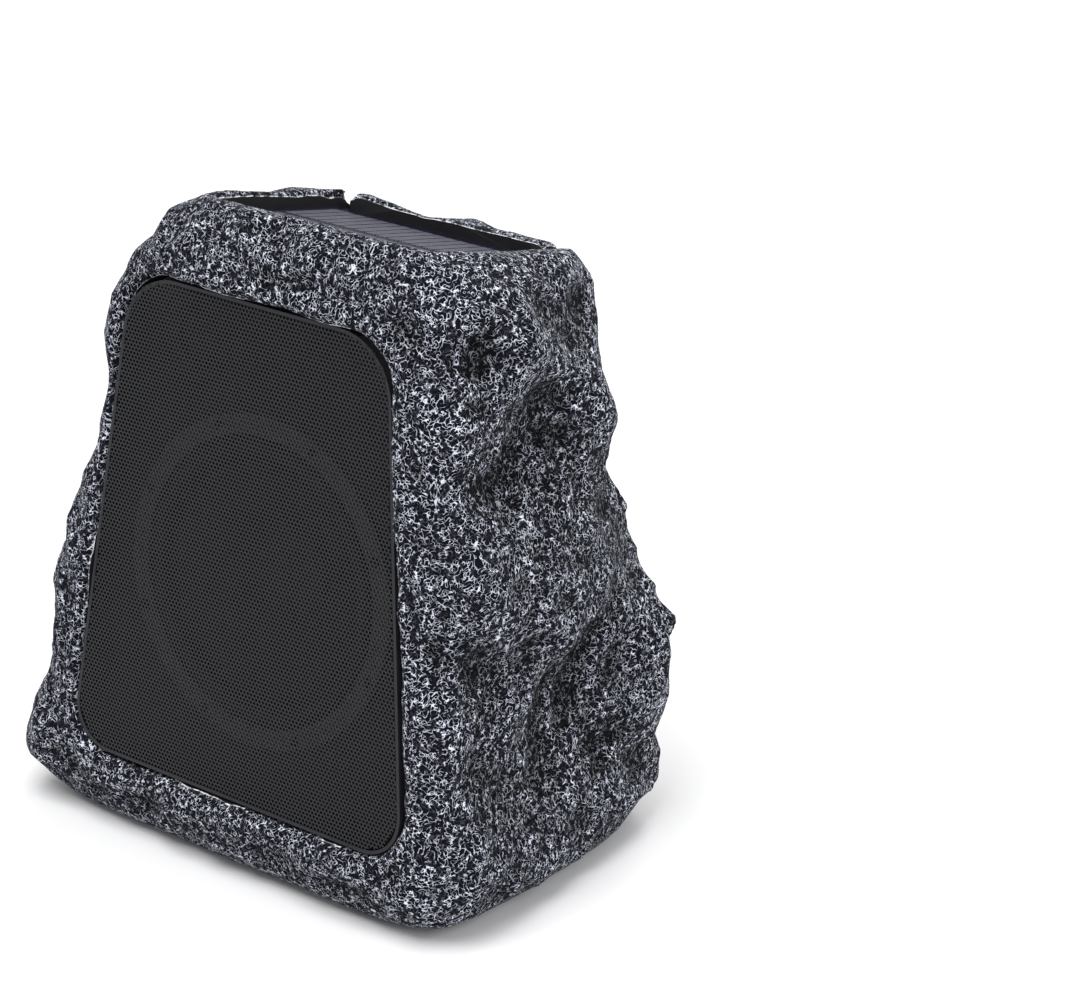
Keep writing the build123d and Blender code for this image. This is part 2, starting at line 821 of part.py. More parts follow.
def woofer_spider():
    """Corrugated disc that centres the voice coil."""
    sheet = 0.5
    inner, outer = woofer_neck_radius, 33.0
    low = -woofer_shelf_depth
    waves = [(inner, 0), (inner + 2, 0)]
    waves += [(inner + 2 + 2.2 * (index + 1), 0.9 if index % 2 else -0.9) for index in range(6)]
    waves += [(outer - 3.5, 0), (outer, 0)]
    front = [(radius, low + sheet + height) for radius, height in waves]
    back = [(radius, low + height) for radius, height in waves]
    return spun(woofer_plane, front + back[::-1])


def woofer_top_plate():
    """Steel ring between the basket and the magnet."""
    inner = coil_outer + coil_gap
    return tube(woofer_plane, inner, magnet_radius - 2, -woofer_depth - plate_thick, -woofer_depth)


def woofer_magnet():
    """Ring magnet."""
    top = -woofer_depth - plate_thick
    low = top - magnet_thick
    chamfer = 1.0
    inner = woofer_neck_radius + 6
    profile = [
        (inner, low),
        (magnet_radius - chamfer, low),
        (magnet_radius, low + chamfer),
        (magnet_radius, top - chamfer),
        (magnet_radius - chamfer, top),
        (inner, top),
    ]
    return spun(woofer_plane, profile)


def woofer_back_plate():
    """Steel disc with the vented pole that stands inside the coil."""
    top = -woofer_depth - plate_thick - magnet_thick
    low = top - plate_thick
    vent = 4.0
    profile = [
        (vent, low),
        (magnet_radius - 4, low),
        (magnet_radius - 2, low + 2),
        (magnet_radius - 2, top),
        (pole_radius, top),
        (pole_radius, -woofer_depth),
        (vent, -woofer_depth),
    ]
    return spun(woofer_plane, profile)


def tweeter_faceplate():
    """Flange of the small driver with a short flare round the dome."""
    throat = tweeter_dome_radius + 1.3
    edge = 0.6
    profile = [
        (throat, -tweeter_flange),
        (tweeter_radius, -tweeter_flange),
        (tweeter_radius, -edge),
        (tweeter_radius - edge, 0),
        (throat + 2.6, 0),
        (throat, -tweeter_flange + 0.8),
    ]
    holes = pilots(tweeter_plane, tweeter_screw_spots(), small_screw, -2 * tweeter_flange, tweeter_flange)
    return spun(tweeter_plane, profile) - holes


tweeter_seat = tweeter_flange + 1.4


def tweeter_suspension():
    """Ring that carries the dome's edge between the faceplate and the magnet."""
    lip, outer = tweeter_dome_radius + 2.1, tweeter_body_radius
    inner = tweeter_dome_radius + 0.15
    high, low = -tweeter_flange, -tweeter_seat
    profile = [
        (inner, high - tweeter_dome_drop),
        (lip, high - tweeter_dome_drop),
        (lip, high),
        (outer, high),
        (outer, low),
        (lip, low),
        (lip, low + 0.2),
        (inner, low + 0.2),
    ]
    return spun(tweeter_plane, profile)


def tweeter_dome():
    """Domed diaphragm with its voice coil."""
    sheet, coil_length = 0.4, 5.0
    foot = -tweeter_flange - tweeter_dome_drop
    front = dome_curve(tweeter_dome_radius, foot, tweeter_dome_rise)
    back = dome_curve(tweeter_dome_radius - sheet, foot - sheet, tweeter_dome_rise)
    coil = foot - coil_length
    skirt = [(tweeter_dome_radius, coil), (tweeter_dome_radius - sheet, coil)]
    return spun(tweeter_plane, front + skirt + back[::-1])


def tweeter_magnet():
    """Sealed magnet of the small driver with a groove for the coil."""
    body = rod(tweeter_plane, tweeter_body_radius, -tweeter_body_depth, -tweeter_seat)
    gap = 2 * coil_gap
    inner, outer = tweeter_dome_radius - gap - 0.4, tweeter_dome_radius + gap
    groove = tube(tweeter_plane, inner, outer, -tweeter_seat - 7, -tweeter_seat)
    return body - groove


def solar_cover():
    """Clear sheet over the cells, with a shallow pocket for them."""
    high = -panel_sink
    low = high - cover_thick
    sheet = slab(top_plane, RectangleRounded(panel_width, panel_length, 1.0), low, high)
    width = cell_columns * cell_pitch + 1
    length = cell_rows * cell_length + (cell_rows - 1) * cell_row_gap + 1
    return sheet - slab(top_plane, Rectangle(width, length), low, low + cell_thick)


def solar_cells():
    """Rows of narrow cells, one solid each."""
    low = -panel_sink - cover_thick
    strip = Box(cell_width, cell_length, cell_thick, align=(Align.CENTER, Align.CENTER, Align.MIN))
    spots = []
    for row in range(cell_rows):
        y = (row - (cell_rows - 1) / 2) * (cell_length + cell_row_gap)
        for column in range(cell_columns):
            x = (column - (cell_columns - 1) / 2) * cell_pitch
            spots.append((x, y))
    return [top_plane * Pos(x, y, low) * strip for x, y in spots]


def solar_board():
    """Stiff board below the cells with a hole for the lead."""
    outline = RectangleRounded(panel_width, panel_length, 1.0)
    board = slab(top_plane, outline, panel_bottom, panel_bottom + board_thick)
    lead = top_plane * Pos(0, panel_length / 4, 0)
    return board - rod(lead, panel_lead_radius / 2, panel_bottom - 1, panel_bottom + board_thick / 2)


def solar_foam():
    """Frame of adhesive foam under the board."""
    outer = Rectangle(panel_width, panel_length)
    inner = Rectangle(panel_width - 2 * foam_width, panel_length - 2 * foam_width)
    return slab(top_plane, outer - inner, well_bottom, panel_bottom)


hinge_x = cover_x + cover_length / 2
hinge_z = -cover_sheet / 2
cover_recess = cover_sheet + 0.3
pin_radius = 0.8
pin_reach = 1.2


def cover_outline(grow=0.0):
    """Battery shaped outline: a bar with a nub on its inner end."""
    bar = RectangleRounded(cover_length + 2 * grow, cover_height + 2 * grow, cover_corner)
    bar = Pos(cover_x, 0, 0) * bar
    nub_x = cover_x - cover_length / 2 - nub_length / 2
    nub = Pos(nub_x, 0, 0) * Rectangle(nub_length + 2 * grow + 2, nub_height + 2 * grow)
    return bar + nub


def control_plate():
    """Moulded plate with screw pockets, button holes, light holes, a cover recess and board posts."""
    plate = slab(rear_plane, control_outline(), -control_thick, 0)
    posts = [
        rod(rear_plane * Pos(x, y, 0), post_radius - 0.5, -control_board_drop, -control_thick)
        for x, y in standoff_spots()
    ]
    plate = plate + posts
    deep = -2 * control_thick
    end_room = 1.6
    recess = cover_outline(cover_clearance) + Pos(hinge_x, 0, 0) * Rectangle(
        2 * end_room, cover_height + 2 * cover_clearance
    )
    pin_slot = Box(2 * pin_radius + 0.4, cover_height + 2 * (pin_reach + cover_clearance), cover_recess)
    port = RectangleRounded(port_width + 0.4, port_height + 0.4, (port_height + 0.3) / 2)
    cuts = [
        slab(rear_plane, recess, -cover_recess, 1),
        rear_plane * Pos(hinge_x, 0, -cover_recess / 2) * pin_slot,
        slab(rear_plane * Pos(cover_x, 0, 0), port, deep, 0),
    ]
    for x in (power_x, pairing_x):
        cuts.append(rod(rear_plane * Pos(x, button_y, 0), button_radius + button_clearance, deep, 1))
        cuts.append(rod(rear_plane * Pos(x, lamp_y, 0), lamp_radius + fit_gap, deep, 1))
    cuts += counterbores(rear_plane, control_screw_spots(), large_screw, -large_screw[1], 1)
    cuts += pilots(rear_plane, control_screw_spots(), large_screw, deep, 0)
    cuts += pilots(rear_plane, standoff_spots(), small_screw, -control_board_drop - 1, -control_thick - 1)
    return plate - cuts


def standoff_spots():
    """Places of the posts that carry the control board."""
    return [(x, y) for x in (-standoff_x, standoff_x) for y in (-standoff_y, standoff_y)]


def control_gasket():
    """Soft ring between the control plate and its pocket."""
    hole = RectangleRounded(control_opening_width, control_opening_length, control_corner)
    low = -control_thick - control_gasket_thick
    ring = slab(rear_plane, control_outline() - hole, low, -control_thick)
    return ring - pilots(rear_plane, control_screw_spots(), large_screw, low - 1, -control_thick + 1)


switch_body = 3.5
switch_stem = 1.4


def push_button(x):
    """Round button: a domed cap, a flange behind the plate and a stem over its switch."""
    back = -control_thick - fit_gap
    flange = 1.0
    stem = -control_board_drop + switch_body + switch_stem + button_travel + 0.15
    edge = 0.5
    profile = [
        (0, button_proud),
        (button_radius - edge, button_proud),
        (button_radius, button_proud - edge),
        (button_radius, back),
        (button_radius + button_flange, back),
        (button_radius + button_flange, back - flange),
        (2.0, back - flange),
        (2.0, stem),
        (0, stem),
    ]
    return spun(rear_plane * Pos(x, button_y, 0), profile)


def light_pipes():
    """Two clear pipes from the lamps to the plate's face, each with a collar behind the plate."""
    collar = 1.0
    low = -control_board_drop + 1.2
    profile = [
        (0, 0),
        (lamp_radius, 0),
        (lamp_radius, -control_thick),
        (lamp_radius + 0.8, -control_thick),
        (lamp_radius + 0.8, -control_thick - collar),
        (lamp_radius, -control_thick - collar),
        (lamp_radius, low),
        (0, low),
    ]
    return [spun(rear_plane * Pos(x, lamp_y, 0), profile) for x in (power_x, pairing_x)]


def status_leds():
    """Two lamps on the control board below the pipes."""
    lamp = Box(2.0, 2.0, 1.0, align=(Align.CENTER, Align.CENTER, Align.MIN))
    return [rear_plane * Pos(x, lamp_y, -control_board_drop) * lamp for x in (power_x, pairing_x)]


def button_switches():
    """Two push switches on the control board below the buttons."""
    low = Align.CENTER, Align.CENTER, Align.MIN
    stem = Pos(0, 0, switch_body) * Cylinder(1.7, switch_stem, align=low)
    switch = Box(6, 6, switch_body, align=low) + stem
    return [rear_plane * Pos(x, button_y, -control_board_drop) * switch for x in (power_x, pairing_x)]


def charge_port_cover():
    """Soft cover with a rounded hinge end, two pins and a plug that closes the port."""
    body = slab(rear_plane, cover_outline(), -cover_sheet, 0)
    trim = Box(cover_length, 2 * cover_height, 3 * cover_sheet, align=(Align.MIN, Align.CENTER, Align.CENTER))
    body = body - rear_plane * Pos(hinge_x, 0, 0) * trim
    turn = rear_plane * Pos(hinge_x, 0, hinge_z) * Rot(90, 0, 0)
    round_end = turn * Cylinder(cover_sheet / 2, cover_height)
    pins = turn * Cylinder(pin_radius, cover_height + 2 * pin_reach)
    plug = RectangleRounded(port_width - 2.4, port_height - 1.5, (port_height - 1.6) / 2)
    plug = slab(rear_plane * Pos(cover_x, 0, 0), plug, -cover_sheet - 1.2, -cover_sheet)
    return body + round_end + pins + plug


def charge_port():
    """Oblong socket with a thin tongue, standing on the control board."""
    low, high = -control_board_drop, -cover_recess
    place = rear_plane * Pos(cover_x, 0, 0)
    shell = slab(place, RectangleRounded(port_width, port_height, port_height / 2 - 0.05), low, high)
    inside = RectangleRounded(port_width - 0.7, port_height - 0.7, port_height / 2 - 0.4)
    shell = shell - slab(place, inside, low + 1.2, high + 1)
    return shell + slab(place, Rectangle(port_width - 2.4, 0.7), low + 1, high - 2.0)


def control_board():
    """Board behind the control plate, held on the plate's posts."""
    low = -control_board_drop - board_thick
    outline = RectangleRounded(control_board_width, control_board_length, 1.5)
    board = slab(rear_plane, outline, low, -control_board_drop)
    return board - pilots(rear_plane, standoff_spots(), small_screw, low - 1, -control_board_drop + 1)


def base_plate():
    """Moulded base with screw pockets, foot holes, a battery fence and amplifier posts."""
    plate = slab(base_plane, base_outline(), 0, base_thick)
    outside = 2 * (holder_wall + fit_gap)
    fence = Rectangle(holder_length + outside, holder_width + outside)
    fence -= Rectangle(holder_length + 2 * fit_gap, holder_width + 2 * fit_gap)
    plate += slab(base_plane * Pos(holder_x, 0, 0), fence, base_thick, base_thick + 4)
    plate += [
        rod(base_plane * Pos(x, y, 0), post_radius, base_thick, base_thick + amplifier_lift)
        for x, y in amplifier_spots()
    ]
    cuts = counterbores(base_plane, base_screw_spots(), large_screw, -1, large_screw[1] - 0.1)
    cuts += pilots(base_plane, base_screw_spots(), large_screw, 0, base_thick + 1)
    cuts += [
        rod(base_plane * Pos(x, y, 0), spigot_radius + fit_gap, -1, base_thick - 0.6)
        for x, y in foot_spots()
    ]
    cuts += pilots(base_plane, amplifier_spots(), small_screw, 1, base_thick + amplifier_lift + 1)
    return plate - cuts


def base_gasket():
    """Soft ring between the base plate and the rock."""
    ring = slab(base_plane, base_outline() - base_outline(-base_landing), base_thick, base_landing_height)
    return ring - pilots(base_plane, base_screw_spots(), large_screw, 0, 2 * base_landing_height)


def foot_spots():
    """Places of the four feet on the base plate."""
    x, y = base_width / 2 - foot_inset_x, base_length / 2 - foot_inset_y
    return [(a * x, b * y) for a in (-1, 1) for b in (-1, 1)]


def feet():
    """Rubber feet with a spigot up into the base plate."""
    edge = 0.6
    profile = [
        (0, -foot_lift),
        (foot_radius - edge, -foot_lift),
        (foot_radius, -foot_lift + edge),
        (foot_radius, 0),
        (spigot_radius, 0),
        (spigot_radius, base_thick - 1),
        (0, base_thick - 1),
    ]
    return [spun(base_plane * Pos(x, y, 0), profile) for x, y in foot_spots()]


def battery_holder():
    """Tray with two round-bottomed troughs for the cells."""
    outline = Rectangle(holder_length, holder_width)
    tray = slab(base_plane * Pos(holder_x, 0, 0), outline, base_thick, base_thick + holder_height)
    lift = base_thick + holder_wall + cell_radius + cell_gap
    cuts = []
    for side in (-1, 1):
        place = base_plane * Pos(holder_x, side * cell_spread, lift) * Rot(0, 90, 0)
        cuts.append(place * Cylinder(cell_radius + cell_gap, cell_body + 4 * cell_gap))
        gap = Box(cell_body + 4 * cell_gap, 2 * (cell_radius + cell_gap), holder_height)
        cuts.append(base_plane * Pos(holder_x, side * cell_spread, lift + holder_height / 2) * gap)
    return tray - cuts


def battery_cells():
    """Two round cells lying in the holder, each with a raised end cap."""
    lift = base_thick + holder_wall + cell_radius
    half = cell_body / 2
    profile = [
        (0, -half),
        (cell_radius, -half),
        (cell_radius, half - 2),
        (3.2, half - 2),
        (3.2, half),
        (0, half),
    ]
    return [
        spun(base_plane * Pos(holder_x, side * cell_spread, lift) * Rot(0, 90 * side, 0), profile)
        for side in (-1, 1)
    ]


def amplifier_spots():
    """Places of the posts that carry the amplifier board."""
    x, y = amplifier_width / 2 - amplifier_inset, amplifier_length / 2 - amplifier_inset
    return [(amplifier_x + a * x, b * y) for a in (-1, 1) for b in (-1, 1)]


def amplifier_board():
    """Amplifier board on the base plate's posts."""
    place = base_plane * Pos(amplifier_x, 0, 0)
    outline = RectangleRounded(amplifier_width, amplifier_length, 1.5)
    board = slab(place, outline, amplifier_low, amplifier_top)
    return board - pilots(base_plane, amplifier_spots(), small_screw, amplifier_low - 1, amplifier_top + 1)


def amplifier_heatsink():
    """Finned block over the amplifier chip."""
    foot = 3.0
    place = base_plane * Pos(amplifier_x, amplifier_length / 2 - heatsink_inset - heatsink_length / 2, 0)
    outline = Rectangle(heatsink_width, heatsink_length)
    block = slab(place, outline, amplifier_top, amplifier_top + heatsink_height)
    pitch = heatsink_width / heatsink_fins
    on_low = (Align.CENTER, Align.CENTER, Align.MIN)
    gap = Box(0.55 * pitch, 2 * heatsink_length, heatsink_height, align=on_low)
    middle = (heatsink_fins - 1) / 2
    low = amplifier_top + foot
    return block - [place * Pos((index - middle) * pitch, 0, low) * gap for index in range(heatsink_fins)]


def amplifier_capacitors():
    """Round capacitors in a row on the amplifier board."""
    return [
        rod(
            base_plane * Pos(amplifier_x + side * capacitor_pitch, capacitor_y, 0),
            capacitor_radius,
            amplifier_top,
            amplifier_top + capacitor_height,
        )
        for side in (-1, 0, 1)
    ]


def wireless_module():
    """Shielded radio module on the amplifier board."""
    x = amplifier_x + amplifier_width / 2 - module_inset_x - module_width / 2
    y = -amplifier_length / 2 + module_inset_y + module_length / 2
    board, can, can_corner = 1.0, 2.0, 1.0
    place = base_plane * Pos(x, y, amplifier_top)
    shield = RectangleRounded(0.7 * module_width, 0.85 * module_length, can_corner)
    card = slab(place, Rectangle(module_width, module_length), 0, board)
    return card + slab(place, shield, board, board + can)


def lead_connectors():
    """Open-topped sockets for the leads in two rows at the board's front edge."""
    left = amplifier_x - amplifier_width / 2 + 2 * amplifier_inset
    front = -amplifier_length / 2 + socket_length
    spots = [(left + column * socket_pitch, front + socket_pitch) for column in range(3)]
    spots += [(left + (column + 0.5) * socket_pitch, front) for column in range(2)]
    outside = Rectangle(socket_width, socket_length)
    inside = Rectangle(socket_width - 2 * socket_wall, socket_length - 2 * socket_wall)
    sockets = []
    for x, y in spots:
        place = base_plane * Pos(x, y, amplifier_top)
        floor = slab(place, outside, 0, socket_wall)
        sockets.append(floor + slab(place, outside - inside, socket_wall, socket_height))
    return sockets


def screw_sets():
    """Every set of screws in its own node."""
    under_board = rear_plane * Pos(0, 0, -control_board_drop - board_thick) * Rot(180, 0, 0)
    below = base_plane * Rot(180, 0, 0)
    clamp = surround_sheet + trim_thick
    return {
        "baffle_screws": screws(
            front_plane, baffle_screw_spots(), large_screw, baffle_screw_length, baffle_front
        ),
        "woofer_screws": screws(woofer_plane, woofer_screw_spots(), small_screw, 9.5, clamp),
        "tweeter_screws": screws(tweeter_plane, tweeter_screw_spots(), small_screw, 6.5, 0),
        "control_screws": screws(rear_plane, control_screw_spots(), large_screw, 9.0, -large_screw[1]),
        "control_board_screws": screws(under_board, standoff_spots(), small_screw, 6.5, 0),
        "base_screws": screws(below, base_screw_spots(), large_screw, 6.0, -large_screw[1] + 0.1),
        "amplifier_screws": screws(base_plane, amplifier_spots(), small_screw, 8.0, amplifier_top),
    }


nodes = {
    "rock_shell": rock_shell(),
    "grille": grille(),
    "baffle": baffle(),
    "baffle_gasket": baffle_gasket(),
    "woofer_basket": woofer_basket(),
    "woofer_gasket": woofer_gasket(),
    "woofer_surround": woofer_surround(),
    "woofer_trim_ring": woofer_trim_ring(),
    "woofer_cone": woofer_cone(),
    "woofer_dust_cap": woofer_dust_cap(),
    "woofer_voice_coil": woofer_voice_coil(),
    "woofer_spider": woofer_spider(),
    "woofer_top_plate": woofer_top_plate(),
    "woofer_magnet": woofer_magnet(),
    "woofer_back_plate": woofer_back_plate(),
    "tweeter_faceplate": tweeter_faceplate(),
    "tweeter_suspension": tweeter_suspension(),
    "tweeter_dome": tweeter_dome(),
    "tweeter_magnet": tweeter_magnet(),
    "solar_cover": solar_cover(),
    "solar_cells": solar_cells(),
    "solar_board": solar_board(),
    "solar_foam": solar_foam(),
    "control_plate": control_plate(),
    "control_gasket": control_gasket(),
    "power_button": push_button(power_x),
    "pairing_button": push_button(pairing_x),
    "light_pipes": light_pipes(),
    "status_leds": status_leds(),
    "button_switches": button_switches(),
    "charge_port_cover": charge_port_cover(),
    "charge_port": charge_port(),
    "control_board": control_board(),
    "base_plate": base_plate(),
    "base_gasket": base_gasket(),
    "feet": feet(),
    "battery_holder": battery_holder(),
    "battery_cells": battery_cells(),
    "amplifier_board": amplifier_board(),
    "amplifier_heatsink": amplifier_heatsink(),
    "amplifier_capacitors": amplifier_capacitors(),
    "wireless_module": wireless_module(),
    "lead_connectors": lead_connectors(),
}
nodes.update(screw_sets())

os.makedirs("parts", exist_ok=True)
for name, shape in nodes.items():
    solids = shape if isinstance(shape, list) else [shape]
    export_step(Compound(children=solids) if len(solids) > 1 else solids[0], f"parts/{name}.step")
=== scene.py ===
"""Looks of a rock shaped garden speaker: moulded rock, perforated front, panel well and rear controls."""

from __future__ import annotations

import json
import logging
import math
from dataclasses import dataclass, field
from enum import Enum
from functools import reduce
from typing import Any, Callable, Iterable, Sequence

import bmesh
import bpy
import numpy as np
from mathutils import Matrix, Vector, noise
from mathutils.bvhtree import BVHTree
from mathutils.kdtree import KDTree

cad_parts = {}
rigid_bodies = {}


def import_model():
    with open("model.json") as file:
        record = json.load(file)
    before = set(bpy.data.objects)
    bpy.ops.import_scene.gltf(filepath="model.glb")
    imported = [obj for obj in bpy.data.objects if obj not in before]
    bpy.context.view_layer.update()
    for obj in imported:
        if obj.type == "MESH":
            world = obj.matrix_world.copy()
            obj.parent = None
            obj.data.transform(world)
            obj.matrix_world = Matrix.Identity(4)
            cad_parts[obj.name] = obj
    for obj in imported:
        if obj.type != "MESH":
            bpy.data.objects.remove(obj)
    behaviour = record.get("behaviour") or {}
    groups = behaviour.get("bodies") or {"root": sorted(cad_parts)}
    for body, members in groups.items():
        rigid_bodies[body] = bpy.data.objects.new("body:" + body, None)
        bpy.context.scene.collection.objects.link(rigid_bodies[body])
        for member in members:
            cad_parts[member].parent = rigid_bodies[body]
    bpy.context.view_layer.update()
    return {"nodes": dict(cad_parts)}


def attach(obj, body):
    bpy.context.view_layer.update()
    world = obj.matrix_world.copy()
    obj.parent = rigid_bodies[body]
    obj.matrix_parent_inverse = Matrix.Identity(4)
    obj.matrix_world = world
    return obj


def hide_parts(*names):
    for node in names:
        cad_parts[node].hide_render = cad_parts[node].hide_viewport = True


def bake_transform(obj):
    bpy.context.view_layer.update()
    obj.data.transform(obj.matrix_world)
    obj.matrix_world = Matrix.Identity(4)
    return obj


MM = 0.001
LOG = logging.getLogger("rock_speaker")
Piece = bpy.types.Object
Socket = bpy.types.NodeSocket
Triple = tuple[float, float, float]
Colour = tuple[float, float, float]
Span = tuple[float, float]
Point = tuple[float, float]


class Body(str, Enum):
    """Moving bodies that new pieces ride on."""

    HOUSING = "housing"
    WOOFER = "woofer_diaphragm"
    POWER = "power_key"
    PAIRING = "pairing_key"
    FLAP = "charge_flap"


class Side(Enum):
    """Recesses that open through the skin of the rock, each with the share of roughness left at its rim."""

    FRONT = 0.3
    TOP = 0.12
    REAR = 0.1
    BASE = 0.0


@dataclass(frozen=True)
class Place:
    """Working plane with its own right, up and outward directions, in millimetres."""

    origin: Triple
    right: Triple
    out: Triple

    def matrix(self, x: float = 0.0, y: float = 0.0, z: float = 0.0) -> Matrix:
        """Turn and shift a mesh made about the origin onto a spot of the plane.

        Args:
            x: Millimetres to the right.
            y: Millimetres up the plane.
            z: Millimetres outwards.

        Returns:
            Matrix from the mesh's own metres to the part's metres.
        """
        right, out = Vector(self.right), Vector(self.out)
        up = out.cross(right)
        turn = Matrix((right, up, out)).transposed().to_4x4()
        spot = Vector(self.origin) + right * x + up * y + out * z
        return Matrix.Translation(spot * MM) @ turn


def leaned(angle: float, sign: float) -> Triple:
    """Outward direction of an upright face that leans back by an angle in degrees."""
    return (0.0, sign * math.cos(math.radians(angle)), math.sin(math.radians(angle)))


FRONT = Place((3.0, -69.00256, 131.5), (1.0, 0.0, 0.0), leaned(7.0, -1.0))
REAR = Place((1.0, 73.68249, 65.0), (-1.0, 0.0, 0.0), leaned(10.0, 1.0))
CROWN = Place((19.0, 2.3, 251.204), (1.0, 0.0, 0.0), leaned(77.4, 1.0))
FLOOR = Place((0.0, 0.0, 0.0), (1.0, 0.0, 0.0), (0.0, 0.0, -1.0))


class Bench:
    """Hand work on meshes through Blender's operators."""

    @staticmethod
    def take(piece: Piece) -> None:
        """Make a piece the only selected and active one.

        Args:
            piece: Piece to select.
        """
        if bpy.context.mode != "OBJECT":
            bpy.ops.object.mode_set(mode="OBJECT")
        bpy.ops.object.select_all(action="DESELECT")
        piece.select_set(True)
        bpy.context.view_layer.objects.active = piece

    @staticmethod
    def open(piece: Piece) -> None:
        """Open a piece alone in edit mode."""
        Bench.take(piece)
        bpy.ops.object.mode_set(mode="EDIT")

    @staticmethod
    def close() -> None:
        """Turn all faces of the open piece outwards and leave edit mode."""
        bpy.ops.mesh.select_all(action="SELECT")
        bpy.ops.mesh.normals_make_consistent(inside=False)
        bpy.ops.object.mode_set(mode="OBJECT")

    @staticmethod
    def placed(name: str, data: bpy.types.ID) -> Piece:
        """New object in the scene.

        Args:
            name: Name of the object.
            data: Mesh, curve, light or camera that it holds.

        Returns:
            The object, at the origin.
        """
        made = bpy.data.objects.new(name, data)
        bpy.context.scene.collection.objects.link(made)
        return made

    @staticmethod
    def added(name: str) -> Piece:
        """Name the primitive that was just added.

        Args:
            name: Name of the piece and its mesh.

        Returns:
            The active object.
        """
        piece = bpy.context.active_object
        piece.name = name
        piece.data.name = name
        return piece

    @staticmethod
    def pick(piece: Piece, kind: str, test: Callable[[Any], bool]) -> None:
        """Select faces, edges or vertices of a piece in edit mode by a test.

        Args:
            piece: Piece that is open in edit mode.
            kind: "faces", "edges" or "verts".
            test: Says whether an element is wanted.
        """
        bpy.ops.mesh.select_all(action="DESELECT")
        mesh = bmesh.from_edit_mesh(piece.data)
        for element in [element for element in getattr(mesh, kind) if test(element)]:
            element.select_set(True)
        bmesh.update_edit_mesh(piece.data)

    @staticmethod
    def middle(edge: bmesh.types.BMEdge) -> Vector:
        """Middle of an edge."""
        return (edge.verts[0].co + edge.verts[1].co) / 2

    @staticmethod
    def apply(piece: Piece) -> None:
        """Apply a piece's modifiers in their order.

        Args:
            piece: Piece to work on.
        """
        Bench.take(piece)
        for modifier in list(piece.modifiers):
            bpy.ops.object.modifier_apply(modifier=modifier.name)

    @staticmethod
    def thicken(piece: Piece, thickness: float) -> None:
        """Give a sheet its thickness, behind its faces.

        Args:
            piece: Open sheet.
            thickness: Metres behind its faces.
        """
        thick = piece.modifiers.new("sheet", "SOLIDIFY")
        thick.thickness = thickness
        thick.offset = -1.0
        Bench.apply(piece)

    @staticmethod
    def settle(piece: Piece, matrix: Matrix) -> None:
        """Put a piece in place and move that place into its mesh.

        Args:
            piece: Piece made about the origin.
            matrix: Its place in the part.
        """
        Bench.take(piece)
        piece.matrix_world = matrix
        bpy.ops.object.transform_apply(location=True, rotation=True, scale=True)

    @staticmethod
    def twin(piece: Piece, name: str) -> Piece:
        """Copy of a piece with its own mesh, free of any parent, with its loose triangles merged.

        Args:
            piece: Piece to copy.
            name: Name of the copy.

        Returns:
            The copy, with no finish yet.
        """
        twin = Bench.placed(name, piece.data.copy())
        twin.data.name = name
        twin.data.materials.clear()
        Bench.open(twin)
        bpy.ops.mesh.select_all(action="SELECT")
        bpy.ops.mesh.remove_doubles(threshold=1e-6)
        bpy.ops.object.mode_set(mode="OBJECT")
        return twin

    @staticmethod
    def ordered(piece: Piece) -> None:
        """Put a piece's faces in the order of their points, which filling and bridging leave to chance.

        Args:
            piece: Piece to work on.
        """
        spots = [vertex.co.copy() for vertex in piece.data.vertices]
        rings = [list(face.vertices) for face in piece.data.polygons]
        starts = [ring.index(min(ring)) for ring in rings]
        faces = sorted(ring[start:] + ring[:start] for ring, start in zip(rings, starts))
        piece.data.clear_geometry()
        piece.data.from_pydata(spots, [], faces)

    @staticmethod
    def rows(items: Any, name: str, width: int, kind: type = float) -> np.ndarray:
        """Values of all points or edges of a mesh, a row for each.

        Args:
            items: Points or edges of the mesh.
            name: Name of the value.
            width: Numbers in a row.
            kind: Type of a number.

        Returns:
            Table of the values.
        """
        values = np.empty(len(items) * width, dtype=kind)
        items.foreach_get(name, values)
        return values.reshape(-1, width)

    @staticmethod
    def store(mesh: bpy.types.Mesh, name: str, values: Sequence[float]) -> None:
        """Keep a value at each point of a mesh for its material."""
        kept = mesh.attributes.new(name, "FLOAT", "POINT")
        kept.data.foreach_set("value", np.asarray(values, dtype=np.float32))

    @staticmethod
    def drop(piece: Piece) -> None:
        """Remove a helper piece and its mesh.

        Args:
            piece: Piece that has done its work.
        """
        mesh = piece.data
        bpy.data.objects.remove(piece)
        bpy.data.meshes.remove(mesh)


